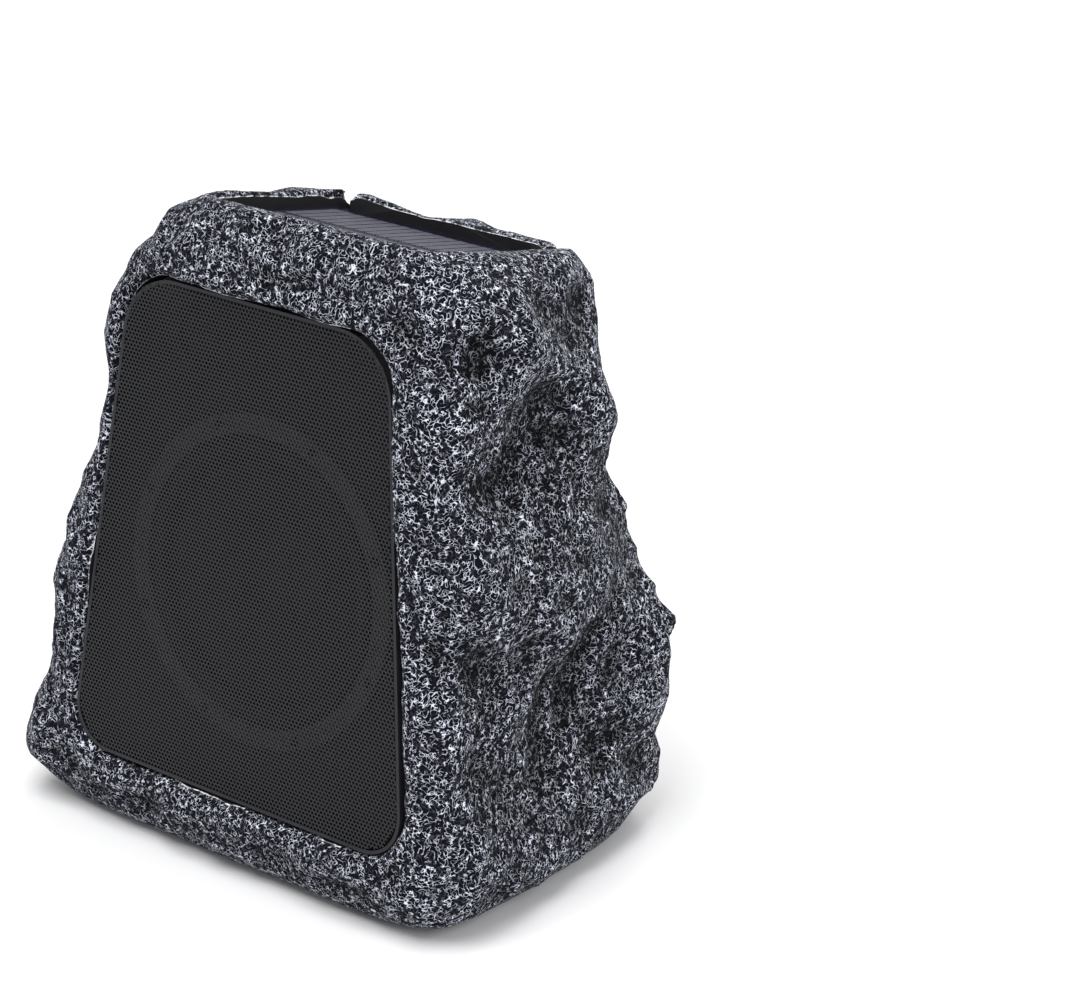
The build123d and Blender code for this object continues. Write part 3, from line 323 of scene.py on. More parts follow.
class Graph:
    """Node tree of one material, filled by short calls."""

    def __init__(self, name: str) -> None:
        """Start an empty material.

        Args:
            name: Name of the material.
        """
        self.material = bpy.data.materials.new(name)
        self.material.use_nodes = True
        self.tree = self.material.node_tree
        self.tree.nodes.clear()
        self.spot = self.node("ShaderNodeTexCoord").outputs["Object"]

    def node(self, kind: str, inputs: dict[Any, Any] | None = None, **settings: Any) -> bpy.types.Node:
        """Add a node, set its settings, and set or link its inputs.

        Args:
            kind: Blender's type name of the node.
            inputs: Values or sockets by input name or index.
            settings: Properties of the node itself.

        Returns:
            The new node.
        """
        made = self.tree.nodes.new(kind)
        for key, value in settings.items():
            setattr(made, key, value)
        for key, value in (inputs or {}).items():
            if isinstance(value, Socket):
                self.tree.links.new(value, made.inputs[key])
            else:
                made.inputs[key].default_value = value
        return made

    def math(self, operation: str, *values: Any) -> Socket:
        """Result of a Math node."""
        return self.node("ShaderNodeMath", dict(enumerate(values)), operation=operation).outputs[0]

    def times(self, *values: Any) -> Socket:
        """Product of numbers and sockets."""
        return reduce(lambda one, two: self.math("MULTIPLY", one, two), values)

    def span(self, value: Any, low: float, high: float, start: float = 0.0, end: float = 1.0) -> Socket:
        """Smooth step of a value from one range to another."""
        inputs = {"Value": value, "From Min": low, "From Max": high, "To Min": start, "To Max": end}
        return self.node("ShaderNodeMapRange", inputs, interpolation_type="SMOOTHSTEP").outputs[0]

    def noise(
        self, scale: float, detail: float = 2.0, spot: Any = None, twist: float = 0.0, output: str = "Fac"
    ) -> Socket:
        """Noise with a number of waves per metre."""
        inputs = {"Vector": spot or self.spot, "Scale": scale, "Detail": detail, "Distortion": twist}
        return self.node("ShaderNodeTexNoise", inputs).outputs[output]

    def warped(self, scale: float, reach: float) -> Socket:
        """Object coordinates pushed about by noise, in metres.

        Args:
            scale: Waves of the noise per metre.
            reach: Farthest push in metres.

        Returns:
            Coordinates for another pattern.
        """
        push = self.noise(scale, output="Color")
        middle = self.node("ShaderNodeVectorMath", {0: push, 1: (0.5, 0.5, 0.5)}, operation="SUBTRACT")
        scaled = self.node("ShaderNodeVectorMath", {0: middle.outputs[0], "Scale": reach}, operation="SCALE")
        added = self.node("ShaderNodeVectorMath", {0: self.spot, 1: scaled.outputs[0]}, operation="ADD")
        return added.outputs[0]

    def mix(self, share: Any, low: Any, high: Any) -> Socket:
        """Colour between two colours."""
        inputs = {0: share, 6: rgba(low), 7: rgba(high)}
        return self.node("ShaderNodeMix", inputs, data_type="RGBA").outputs[2]

    def toned(self, share: Any, colour: Colour, low: float, high: float) -> Socket:
        """Colour between a darker and a lighter tone of one colour."""
        return self.mix(share, shaded(colour, low), shaded(colour, high))

    def bump(self, height: Any, depth: float) -> Socket:
        """Normal from a height map that is a number of metres deep."""
        inputs = {"Height": height, "Distance": depth, "Strength": 1.0}
        return self.node("ShaderNodeBump", inputs).outputs[0]

    def attribute(self, name: str) -> Socket:
        """Value that the mesh carries at each point."""
        return self.node("ShaderNodeAttribute", attribute_name=name).outputs["Fac"]

    def close(self, **sockets: Any) -> bpy.types.Material:
        """Finish with a Principled shader; an underscore in a socket's name stands for a space.

        Args:
            sockets: Values or sockets by input name.

        Returns:
            The finished material.
        """
        inputs = {key.replace("_", " "): value for key, value in sockets.items()}
        shader = self.node("ShaderNodeBsdfPrincipled", inputs)
        self.node("ShaderNodeOutputMaterial", {"Surface": shader.outputs[0]})
        return self.material


def rgba(colour: Any) -> Any:
    """Give a plain colour its fourth number and leave a socket as it is."""
    return (*colour, 1.0) if isinstance(colour, tuple) else colour


def shaded(colour: Colour, share: float) -> Colour:
    """Colour made darker or lighter by a share."""
    return tuple(min(1.0, value * share) for value in colour)


@dataclass(frozen=True)
class RockFinish:
    """Charcoal casting with broken, dry-brushed pale strokes, thinner in its hollows; the hollows are
    darkened by painted shade, and the strokes spread further over upward faces as painted light from above.
    """

    name: str = "dry_brushed_rock"
    # hollow: painted shade, a darker ground colour laid into the hollows
    hollow: Colour = (0.0012, 0.0013, 0.002)
    ground: Colour = (0.004, 0.0043, 0.009)
    brushed: Colour = (0.84, 0.88, 1.0)
    rim: Colour = (0.95, 0.97, 1.0)
    strand: float = 1.6 * MM
    strand_line: Span = (0.017, 0.045)
    thread: float = 2.05 * MM
    thread_line: Span = (0.012, 0.035)
    twist: float = 0.2
    dash: float = 2.4 * MM
    dash_gap: Span = (0.4, 0.53)
    patches: float = 48.0
    grains: float = 1400.0
    relief_share: float = 0.6
    # painted light from above: share of extra pale strokes on faces that point up
    top_light_share: float = 0.25
    patch_share: float = 0.5
    seam_line: Span = (0.001, 0.007)
    seam_share: float = 0.7
    stroke_height: float = 0.5 * MM
    gloss: float = 0.06

    def material(self) -> bpy.types.Material:
        """Make the material.

        Returns:
            Material that reads the mesh's relief, rim and seam values.
        """
        graph = Graph(self.name)
        relief, rim, seam = (graph.attribute(name) for name in ("relief", "rim", "seam"))
        spot = graph.warped(70.0, 5.0 * MM)
        other = graph.warped(110.0, 4.0 * MM)
        strand = self.line(graph, graph.noise(1.0 / self.strand, 0.0, spot, self.twist), self.strand_line)
        thread = self.line(graph, graph.noise(1.0 / self.thread, 0.0, other, self.twist), self.thread_line)
        strokes = graph.math("MAXIMUM", strand, thread)
        broken = graph.span(graph.noise(1.0 / self.dash, 1.0, other), *self.dash_gap, 0.06, 1.0)
        patch = graph.noise(self.patches, 3.0)
        grit = graph.noise(self.grains)
        # Paint cover: the relief and patch terms are the real dry-brushing; the upward-facing term is painted
        # light from above
        facing = graph.node("ShaderNodeNewGeometry").outputs["Normal"]
        top_light = graph.node("ShaderNodeSeparateXYZ", {0: facing}).outputs[2]
        relief_and_top_light = graph.math("ADD", graph.times(relief, self.relief_share), graph.times(top_light, self.top_light_share))
        relief_top_light_and_patch = graph.math("ADD", relief_and_top_light, graph.times(graph.math("SUBTRACT", patch, 0.5), self.patch_share))
        cover = graph.span(relief_top_light_and_patch, -0.55, 0.38, 0.2, 1.0)
        paint = graph.times(strokes, broken, cover, graph.span(grit, 0.3, 0.6, 0.7, 1.0))
        ridge = graph.times(graph.span(seam, *self.seam_line, 1.0, 0.0), graph.span(patch, 0.44, 0.56))
        paint = graph.math("MAXIMUM", paint, graph.times(ridge, broken, self.seam_share))
        # painted shade: the ground goes darker towards the hollow colour where the relief sinks
        ground = graph.mix(graph.span(relief, -0.7, 0.4), self.hollow, self.ground)
        colour = graph.mix(paint, ground, self.brushed)
        edge = graph.times(graph.span(rim, 0.35, 0.8), graph.span(broken, 0.1, 0.6, 0.25, 1.0))
        return graph.close(
            Base_Color=graph.mix(edge, colour, self.rim),
            Roughness=graph.span(grit, 0.2, 0.8, 0.74, 0.9),
            Normal=graph.bump(strokes, self.stroke_height),
            Specular_IOR_Level=self.gloss,
        )

    def line(self, graph: Graph, pattern: Any, width: Span) -> Socket:
        """Lines where a pattern crosses its middle value."""
        return graph.span(graph.math("ABSOLUTE", graph.math("SUBTRACT", pattern, 0.5)), *width, 1.0, 0.0)


@dataclass(frozen=True)
class MouldedFinish:
    """Moulded plastic, rubber or paper with a fine grain and a slight mottle."""

    name: str
    colour: Colour
    rough: float = 0.5
    grain: float = 1800.0
    depth: float = 0.03 * MM
    mottle: float = 0.18
    gloss: float = 0.4

    def material(self) -> bpy.types.Material:
        """Make the material.

        Returns:
            Material with a grain of its own depth.
        """
        graph = Graph(self.name)
        fine = graph.noise(self.grain)
        broad = graph.noise(90.0, 3.0)
        share = graph.span(graph.math("ADD", graph.times(fine, 0.35), graph.times(broad, 0.65)), 0.3, 0.7)
        return graph.close(
            Base_Color=graph.toned(share, self.colour, 1 - self.mottle, 1 + self.mottle),
            Roughness=graph.span(broad, 0.3, 0.7, self.rough - 0.06, self.rough + 0.06),
            Normal=graph.bump(fine, self.depth),
            Specular_IOR_Level=self.gloss,
        )


@dataclass(frozen=True)
class MetalFinish:
    """Bare or plated metal with fine tooling marks."""

    name: str
    colour: Colour
    rough: float = 0.32
    stretch: Triple = (1.0, 1.0, 12.0)

    def material(self) -> bpy.types.Material:
        """Make the material.

        Returns:
            Metallic material with drawn-out marks.
        """
        graph = Graph(self.name)
        mapped = graph.node("ShaderNodeMapping", {"Vector": graph.spot, "Scale": self.stretch}).outputs[0]
        marks = graph.noise(420.0, 3.0, mapped)
        broad = graph.span(graph.noise(70.0), 0.3, 0.7)
        return graph.close(
            Base_Color=graph.toned(broad, self.colour, 0.82, 1.08),
            Roughness=graph.span(marks, 0.3, 0.7, self.rough - 0.08, self.rough + 0.12),
            Normal=graph.bump(marks, 0.02 * MM),
            Metallic=1.0,
        )


@dataclass(frozen=True)
class BoardFinish:
    """Printed circuit board with tracks under its lacquer."""

    name: str
    lacquer: Colour
    track: Colour
    pitch: float = 2.4 * MM

    def material(self) -> bpy.types.Material:
        """Make the material.

        Returns:
            Material with lanes of tracks.
        """
        graph = Graph(self.name)
        inputs = {"Vector": graph.spot, "Scale": 1.0 / self.pitch, "Randomness": 1.0}
        lanes = graph.node("ShaderNodeTexVoronoi", inputs, distance="CHEBYCHEV").outputs["Distance"]
        edge = graph.span(graph.math("ABSOLUTE", graph.math("SUBTRACT", lanes, 0.42)), 0.03, 0.07, 1.0, 0.0)
        colour = graph.mix(graph.times(edge, 0.7), self.lacquer, self.track)
        rough = graph.span(graph.noise(120.0), 0.3, 0.7, 0.28, 0.42)
        return graph.close(Base_Color=colour, Roughness=rough, Normal=graph.bump(edge, 0.03 * MM))


@dataclass(frozen=True)
class SolarFinish:
    """Navy silicon strips with four pale finger lines each."""

    name: str = "solar_strip"
    colour: Colour = (0.011, 0.011, 0.024)
    finger: Colour = (0.28, 0.28, 0.33)
    middle: float = 19.0 * MM
    pitch: float = 5.75 * MM
    step: float = 1.245 * MM
    width: float = 0.46 * MM

    def material(self) -> bpy.types.Material:
        """Make the material.

        Returns:
            Material whose lines run along the panel's short side.
        """
        graph = Graph(self.name)
        across = graph.node("ShaderNodeSeparateXYZ", {0: graph.spot}).outputs[0]
        turns = graph.math("DIVIDE", graph.math("SUBTRACT", across, self.middle), self.pitch)
        inside = graph.math("SUBTRACT", graph.math("FRACT", graph.math("ADD", turns, 20.0)), 0.5)
        out = graph.times(graph.math("ABSOLUTE", inside), self.pitch)
        place = graph.math("FRACT", graph.math("DIVIDE", out, self.step))
        off = graph.times(graph.math("ABSOLUTE", graph.math("SUBTRACT", place, 0.5)), self.step)
        line = graph.span(off, 0.3 * self.width, 0.62 * self.width, 1.0, 0.0)
        kept = graph.times(line, graph.math("LESS_THAN", out, 2 * self.step))
        tone = graph.noise(160.0)
        ground = graph.toned(tone, self.colour, 0.7, 1.3)
        colour = graph.mix(graph.times(kept, graph.span(tone, 0.2, 0.8, 0.75, 1.0)), ground, self.finger)
        rough = graph.span(kept, 0.0, 1.0, 0.55, 0.7)
        return graph.close(Base_Color=colour, Roughness=rough, Specular_IOR_Level=0.05)


@dataclass(frozen=True)
class ClearFinish:
    """Thin clear resin that keeps a faint film of its own."""

    name: str
    colour: Colour
    rough: float = 0.3
    film: float = 0.05

    def material(self) -> bpy.types.Material:
        """Make the material.

        Returns:
            Material that is almost clear.
        """
        graph = Graph(self.name)
        cloud = graph.noise(120.0)
        rough = graph.span(cloud, 0.3, 0.7, self.rough - 0.05, self.rough + 0.05)
        film = graph.span(cloud, 0.2, 0.8, 0.8 * self.film, 1.2 * self.film)
        tint = graph.toned(cloud, self.colour, 0.9, 1.0)
        return graph.close(Base_Color=tint, Roughness=rough, Alpha=film, Specular_IOR_Level=0.3)


@dataclass(frozen=True)
class ClothFinish:
    """Treated woven cloth seen as a fine crossed grid."""

    name: str
    colour: Colour
    pitch: float = 0.6 * MM

    def material(self) -> bpy.types.Material:
        """Make the material.

        Returns:
            Material with a woven relief.
        """
        graph = Graph(self.name)
        across, along, up = graph.node("ShaderNodeSeparateXYZ", {0: graph.spot}).outputs
        turn = 2 * math.pi / self.pitch
        warp = graph.math("SINE", graph.times(across, turn))
        weft = graph.math("SINE", graph.times(graph.math("ADD", up, along), turn))
        weave = graph.span(graph.times(warp, weft), -1.0, 1.0)
        colour = graph.toned(weave, self.colour, 0.6, 1.25)
        rough = graph.span(weave, 0.0, 1.0, 0.7, 0.9)
        return graph.close(Base_Color=colour, Roughness=rough, Normal=graph.bump(weave, 0.05 * MM))


Finish = RockFinish | MouldedFinish | MetalFinish | BoardFinish | SolarFinish | ClearFinish | ClothFinish


class Palette:
    """Finishes of the object, each made into one material when first asked for."""

    def __init__(self) -> None:
        """Start with no material made."""
        self.made: dict[str, bpy.types.Material] = {}

    def get(self, finish: Finish) -> bpy.types.Material:
        """Material of a finish.

        Args:
            finish: Finish that is asked for.

        Returns:
            The one material of that finish.
        """
        if finish.name not in self.made:
            self.made[finish.name] = finish.material()
        return self.made[finish.name]

    def dress(self, piece: Piece, finish: Finish) -> None:
        """Give a whole piece one finish.

        Args:
            piece: Piece to dress.
            finish: Its finish.
        """
        material = self.get(finish)
        if piece.data.materials:
            for index in range(len(piece.data.materials)):
                piece.data.materials[index] = material
        else:
            piece.data.materials.append(material)


RECESS = MouldedFinish("matt_recess", (0.008, 0.008, 0.01), 0.7, 900.0, 0.05 * MM, gloss=0.15)
GRILLE_BLACK = MouldedFinish("coated_grille", (0.014, 0.0145, 0.0175), 0.5, 2600.0, 0.01 * MM, gloss=0.3)
CONTROL_GREY = MouldedFinish("control_grey", (0.08, 0.084, 0.098), 0.5, 1700.0, 0.02 * MM, 0.06)
MARK_GREY = MouldedFinish("mark_grey", (0.03, 0.031, 0.036), 0.45, 1700.0, 0.02 * MM)
SCREW_BLACK = MetalFinish("blackened_screw", (0.03, 0.03, 0.032), 0.42)
SOFT_SEAL = MouldedFinish("soft_seal", (0.018, 0.018, 0.018), 0.85, 700.0, 0.1 * MM)
EDGE_RUBBER = MouldedFinish("edge_rubber", (0.014, 0.014, 0.015), 0.5, 500.0, 0.03 * MM, 0.1)
PLATED_STEEL = MetalFinish("plated_steel", (0.55, 0.55, 0.56))
FERRITE = MouldedFinish("ferrite", (0.05, 0.05, 0.052), 0.55, 600.0, 0.05 * MM)
BOARD_GREEN = BoardFinish("board_green", (0.01, 0.06, 0.022), (0.03, 0.14, 0.05))

NODE_FINISHES: dict[str, Finish] = {
    **dict.fromkeys(
        ("baffle_gasket", "woofer_gasket", "control_gasket", "base_gasket", "solar_foam"), SOFT_SEAL
    ),
    **dict.fromkeys(("control_plate", "power_button", "pairing_button", "charge_port_cover"), CONTROL_GREY),
    **dict.fromkeys(("woofer_surround", "tweeter_suspension"), EDGE_RUBBER),
    **dict.fromkeys(("woofer_top_plate", "woofer_back_plate"), PLATED_STEEL),
    **dict.fromkeys(("woofer_magnet", "tweeter_magnet"), FERRITE),
    **dict.fromkeys(("control_board", "amplifier_board"), BOARD_GREEN),
    "baffle": MouldedFinish("baffle_black", (0.01, 0.01, 0.012), 0.6),
    "woofer_basket": MouldedFinish("basket_black", (0.012, 0.012, 0.013), 0.4),
    "woofer_trim_ring": MouldedFinish("trim_grey", (0.16, 0.16, 0.17), 0.4),
    "woofer_cone": MouldedFinish("cone_paper", (0.03, 0.03, 0.033), 0.75, 420.0, 0.12 * MM, 0.3),
    "woofer_dust_cap": MouldedFinish("cap_paper", (0.035, 0.035, 0.038), 0.6, 420.0, 0.06 * MM, 0.2),
    "woofer_voice_coil": MetalFinish("coil_copper", (0.62, 0.27, 0.14), 0.35, (1.0, 30.0, 1.0)),
    "woofer_spider": ClothFinish("spider_cloth", (0.42, 0.28, 0.13)),
    "tweeter_faceplate": MouldedFinish("tweeter_black", (0.014, 0.014, 0.016), 0.42),
    "tweeter_dome": ClothFinish("dome_silk", (0.03, 0.03, 0.033), 0.35 * MM),
    "solar_cover": ClearFinish("solar_clear", (0.05, 0.05, 0.09)),
    "solar_cells": SolarFinish(),
    "solar_board": MouldedFinish("board_navy", (0.012, 0.012, 0.024), 0.6, gloss=0.05),
    "light_pipes": MouldedFinish("lamp_window", (0.09, 0.094, 0.105), 0.28, 500.0, 0.01 * MM, gloss=0.5),
    "status_leds": MouldedFinish("lamp_white", (0.72, 0.72, 0.68), 0.35),
    "button_switches": MouldedFinish("switch_body", (0.02, 0.02, 0.02), 0.45),
    "charge_port": MetalFinish("port_steel", (0.6, 0.6, 0.62), 0.25),
    "base_plate": MouldedFinish("base_black", (0.016, 0.016, 0.018), 0.55, 1200.0, 0.05 * MM),
    "feet": MouldedFinish("foot_rubber", (0.014, 0.014, 0.014), 0.8, 600.0, 0.05 * MM),
    "battery_holder": MouldedFinish("holder_black", (0.02, 0.02, 0.021), 0.5),
    "battery_cells": MouldedFinish("cell_wrap", (0.02, 0.12, 0.3), 0.3, 300.0, 0.01 * MM, 0.08),
    "amplifier_heatsink": MetalFinish("heatsink_alloy", (0.62, 0.63, 0.65), 0.38, (1.0, 20.0, 1.0)),
    "amplifier_capacitors": MouldedFinish("capacitor_sleeve", (0.02, 0.025, 0.06), 0.35, 300.0, 0.01 * MM),
    "wireless_module": MetalFinish("shield_tin", (0.6, 0.6, 0.58), 0.3),
    "lead_connectors": MouldedFinish("connector_cream", (0.62, 0.58, 0.45), 0.45),
}


@dataclass
class Rock:
    """Moulded rock: a roughened blank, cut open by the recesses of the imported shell."""

    voxel: float = 1.75 * MM
    sharpness: float = 0.95
    reach: float = 18 * MM
    calm: float = 14 * MM
    lip: float = 5 * MM
    lip_depth: float = 2.2 * MM
    wall: float = 1.8 * MM
    ledge: float = 3.2 * MM
    overhang: float = 11 * MM
    flake: float = 34 * MM
    flake_depth: float = 6.5 * MM
    crag: float = 24 * MM
    crag_depth: float = 3 * MM
    crag_level: float = 0.35
    pit: float = 7 * MM
    pit_depth: float = 1.1 * MM
    heap: float = 6 * MM
    heap_taper: float = 0.92
    foot: float = 3 * MM
    foot_fade: float = 14 * MM
    base_top: float = 15 * MM
    front_face: float = -45 * MM
    rear_top: float = 130 * MM
    ruffles: Span = (45.0, 130.0)
    ruffle_share: float = 0.9
    crease: float = 48.0
    hollows: tuple[tuple[int, float], ...] = ((8, 0.5 * MM), (50, 1.5 * MM))
    rims: list[tuple[Vector, Side]] = field(default_factory=list)
    away: list[float] = field(default_factory=list)
    share: list[float] = field(default_factory=list)

    def side(self, spot: Vector) -> Side:
        """Recess that a point of a rim belongs to.

        Args:
            spot: Point of a rim, in metres.

        Returns:
            The recess.
        """
        if spot.z < self.base_top:
            return Side.BASE
        if spot.y < self.front_face:
            return Side.FRONT
        if spot.z < self.rear_top:
            return Side.REAR
        return Side.TOP

    def build(self, shell: Piece, palette: Palette) -> Piece:
        """Model the rock.

        Args:
            shell: Packed shell that gives the skin and the recesses.
            palette: Finishes of the object.

        Returns:
            The finished rock.
        """
        blank = Bench.twin(shell, "rock")
        Bench.open(blank)
        self.pick_widest(blank)
        bpy.ops.mesh.faces_select_linked_flat(sharpness=self.sharpness)
        bpy.ops.object.mode_set(mode="OBJECT")
        cutter = self.cutter(blank)
        Bench.open(blank)
        bpy.ops.mesh.select_all(action="INVERT")
        bpy.ops.mesh.delete(type="FACE")
        self.pick_rim(blank, Side.TOP)
        bpy.ops.mesh.extrude_edges_move(TRANSFORM_OT_translate={"value": Vector(CROWN.out) * self.heap})
        taper = (self.heap_taper, self.heap_taper, 1.0)
        bpy.ops.transform.resize(value=taper, center_override=Vector(CROWN.origin) * MM)
        bpy.ops.mesh.select_all(action="SELECT")
        bpy.ops.mesh.fill_holes(sides=0)
        Bench.close()
        self.roughen(blank)
        self.guard(blank, cutter)
        blank.data.materials.clear()
        blank.data.materials.append(palette.get(RockFinish()))
        cutter.data.materials.append(palette.get(RECESS))
        cut = blank.modifiers.new("recesses", "BOOLEAN")
        cut.operation = "DIFFERENCE"
        cut.solver = "MANIFOLD"
        cut.object = cutter
        cut.material_mode = "TRANSFER"
        Bench.apply(blank)
        Bench.drop(cutter)
        self.shed(blank)
        bpy.ops.object.shade_smooth_by_angle(angle=math.radians(self.crease))
        self.mark(blank)
        return blank

    def cutter(self, skin: Piece) -> Piece:
        """Inside of the shell, with each recess carried out through the skin and closed.

        Args:
            skin: Merged shell whose outer skin is selected.

        Returns:
            Closed helper piece.
        """
        cutter = Bench.placed("recess_cutter", skin.data.copy())
        Bench.open(cutter)
        bpy.ops.mesh.delete(type="FACE")
        places = {Side.FRONT: FRONT, Side.TOP: CROWN, Side.REAR: REAR, Side.BASE: FLOOR}
        for side, place in places.items():
            out = Vector(place.out)
            self.pick_rim(cutter, side)
            bpy.ops.mesh.subdivide(number_cuts=3)
            self.pick_rim(cutter, side)
            mesh = bmesh.from_edit_mesh(cutter.data)
            loop = [vertex.co.copy() for vertex in mesh.verts if vertex.select]
            self.rims += [(spot, side) for spot in loop]
            level = max(spot.dot(out) for spot in loop) + self.reach
            if side is Side.FRONT:
                self.level(cutter, out, Vector(place.origin).dot(out) * MM - self.ledge)
            bpy.ops.mesh.extrude_edges_move(TRANSFORM_OT_translate={"value": out * self.reach})
            self.level(cutter, out, level)
            if side is Side.FRONT:
                self.ruffle(cutter, Vector(place.origin) * MM)
            bpy.ops.mesh.edge_face_add()
        Bench.close()
        Bench.ordered(cutter)
        return cutter

    def level(self, cutter: Piece, out: Vector, height: float) -> None:
        """Bring the selected points to one height along a direction.

        Args:
            cutter: Piece that is open in edit mode.
            out: Direction.
            height: Height along it in metres.
        """
        mesh = bmesh.from_edit_mesh(cutter.data)
        for vertex in mesh.verts:
            if vertex.select:
                vertex.co += out * (height - vertex.co.dot(out))
        bmesh.update_edit_mesh(cutter.data)

    def ruffle(self, cutter: Piece, middle: Vector) -> None:
        """Draw the selected points in by uneven amounts, so that the rim overhangs unevenly.

        Args:
            cutter: Piece that is open in edit mode.
            middle: Middle of the opening.
        """
        coarse, fine = self.ruffles
        mesh = bmesh.from_edit_mesh(cutter.data)
        for vertex in mesh.verts:
            if vertex.select:
                uneven = noise.noise(vertex.co * coarse) + 0.6 * noise.noise(vertex.co * fine)
                inward = Vector((middle.x - vertex.co.x, 0.0, middle.z - vertex.co.z))
                vertex.co += inward.normalized() * (self.overhang * (1.0 + self.ruffle_share * uneven))
        bmesh.update_edit_mesh(cutter.data)

    def pick_widest(self, piece: Piece) -> None:
        """Select the face of the outer skin that lies farthest to the right.

        Args:
            piece: Piece that is open in edit mode.
        """
        faces = bmesh.from_edit_mesh(piece.data).faces
        widest = max(faces, key=lambda face: face.calc_center_median().x).index
        Bench.pick(piece, "faces", lambda face: face.index == widest)

    def shed(self, rock: Piece) -> None:
        """Remove the slivers that the cut leaves loose.

        Args:
            rock: Rock after the cut.
        """
        Bench.open(rock)
        self.pick_widest(rock)
        bpy.ops.mesh.select_linked()
        bpy.ops.mesh.select_all(action="INVERT")
        bpy.ops.mesh.delete(type="VERT")
        bpy.ops.object.mode_set(mode="OBJECT")

    def pick_rim(self, cutter: Piece, side: Side) -> None:
        """Select the open edges that belong to one recess."""
        Bench.pick(cutter, "edges", lambda edge: edge.is_boundary and self.side(Bench.middle(edge)) is side)

    def roughen(self, blank: Piece) -> None:
        """Turn the faceted blank into rough rock.

        Args:
            blank: Closed skin of the shell.
        """
        remesh = blank.modifiers.new("voxels", "REMESH")
        remesh.mode = "VOXEL"
        remesh.voxel_size = self.voxel
        soften = blank.modifiers.new("soften", "SMOOTH")
        soften.iterations = 10
        Bench.apply(blank)
        self.weigh(blank)
        self.seam(blank)
        self.wave(blank, None, -self.lip_depth, 0.0, "lip")
        self.wave(blank, self.texture("VORONOI", self.flake), self.flake_depth, 0.5, "rough")
        self.wave(blank, self.texture("MUSGRAVE", self.crag), self.crag_depth, self.crag_level, "rough")
        self.wave(blank, self.texture("CLOUDS", self.pit), self.pit_depth, 0.5, "rough")
        Bench.apply(blank)

    def texture(self, kind: str, scale: float) -> bpy.types.Texture:
        """Height pattern for a displacement, with its size in metres.

        Args:
            kind: Blender's name of the pattern.
            scale: Size of its cells or waves.

        Returns:
            The pattern.
        """
        pattern = bpy.data.textures.new(kind.lower(), kind)
        pattern.noise_scale = scale
        if kind == "MUSGRAVE":
            pattern.musgrave_type = "RIDGED_MULTIFRACTAL"
            pattern.octaves = 3.0
            pattern.noise_intensity = 0.55
        return pattern

    def wave(
        self, blank: Piece, pattern: bpy.types.Texture | None, strength: float, middle: float, group: str
    ) -> None:
        """Add one displacement along the normals, weighed by a group of points.

        Args:
            blank: Rock before the cut.
            pattern: Height pattern, or none for an even push.
            strength: Depth in metres.
            middle: Value of the pattern that stays in place.
            group: Group of points that weighs the push.
        """
        push = blank.modifiers.new(group, "DISPLACE")
        push.texture = pattern
        push.texture_coords = "LOCAL"
        push.strength = strength
        push.mid_level = middle
        push.vertex_group = group

    def weigh(self, blank: Piece) -> None:
        """Weigh how rough each point may be: calmer near the recesses and the foot.

        Args:
            blank: Rock before the cut, still smooth.
        """
        tree = KDTree(len(self.rims))
        for index, (spot, _) in enumerate(self.rims):
            tree.insert(spot, index)
        tree.balance()
        rough = blank.vertex_groups.new(name="rough")
        lip = blank.vertex_groups.new(name="lip")
        for vertex in blank.data.vertices:
            _, index, away = tree.find(vertex.co)
            self.away.append(away)
            side = self.rims[index][1]
            ease = min(1.0, away / self.calm)
            foot = min(1.0, max(0.0, (vertex.co.z - self.foot) / self.foot_fade))
            weight = (side.value + (1 - side.value) * ease * ease) * foot
            rough.add([vertex.index], weight, "REPLACE")
            self.share.append(weight)
            if side is Side.FRONT and away < self.lip:
                lip.add([vertex.index], (1 - away / self.lip) ** 2, "REPLACE")

    def seam(self, blank: Piece) -> None:
        """Store how near each rough point is to the ridge between two flakes.

        Args:
            blank: Rock before the cut, still smooth.
        """
        pattern = self.texture("VORONOI", self.flake)
        pattern.weight_1 = -1.0
        pattern.weight_2 = 1.0
        points = zip(blank.data.vertices, self.share)
        near = [pattern.evaluate(vertex.co)[3] + 1.0 - share for vertex, share in points]
        Bench.store(blank.data, "seam", near)

    def guard(self, blank: Piece, cutter: Piece) -> None:
        """Keep a wall between the roughened skin and the hollow inside, away from the rims.

        Args:
            blank: Rock before the cut, roughened.
            cutter: Hollow inside.
        """
        hollow = BVHTree.FromObject(cutter, bpy.context.evaluated_depsgraph_get())
        skin = [(vertex.co.copy(), vertex.normal.copy()) for vertex in blank.data.vertices]
        for vertex, (place, facing), away in zip(blank.data.vertices, skin, self.away):
            if away < 1.5 * self.lip:
                continue
            spot, normal, _, _ = hollow.find_nearest(place, 2 * self.lip)
            if spot is None or normal.dot(facing) < 0.2:
                continue
            room = (place - spot).dot(normal)
            if -self.lip < room < self.wall:
                vertex.co = place + normal * (self.wall - room)

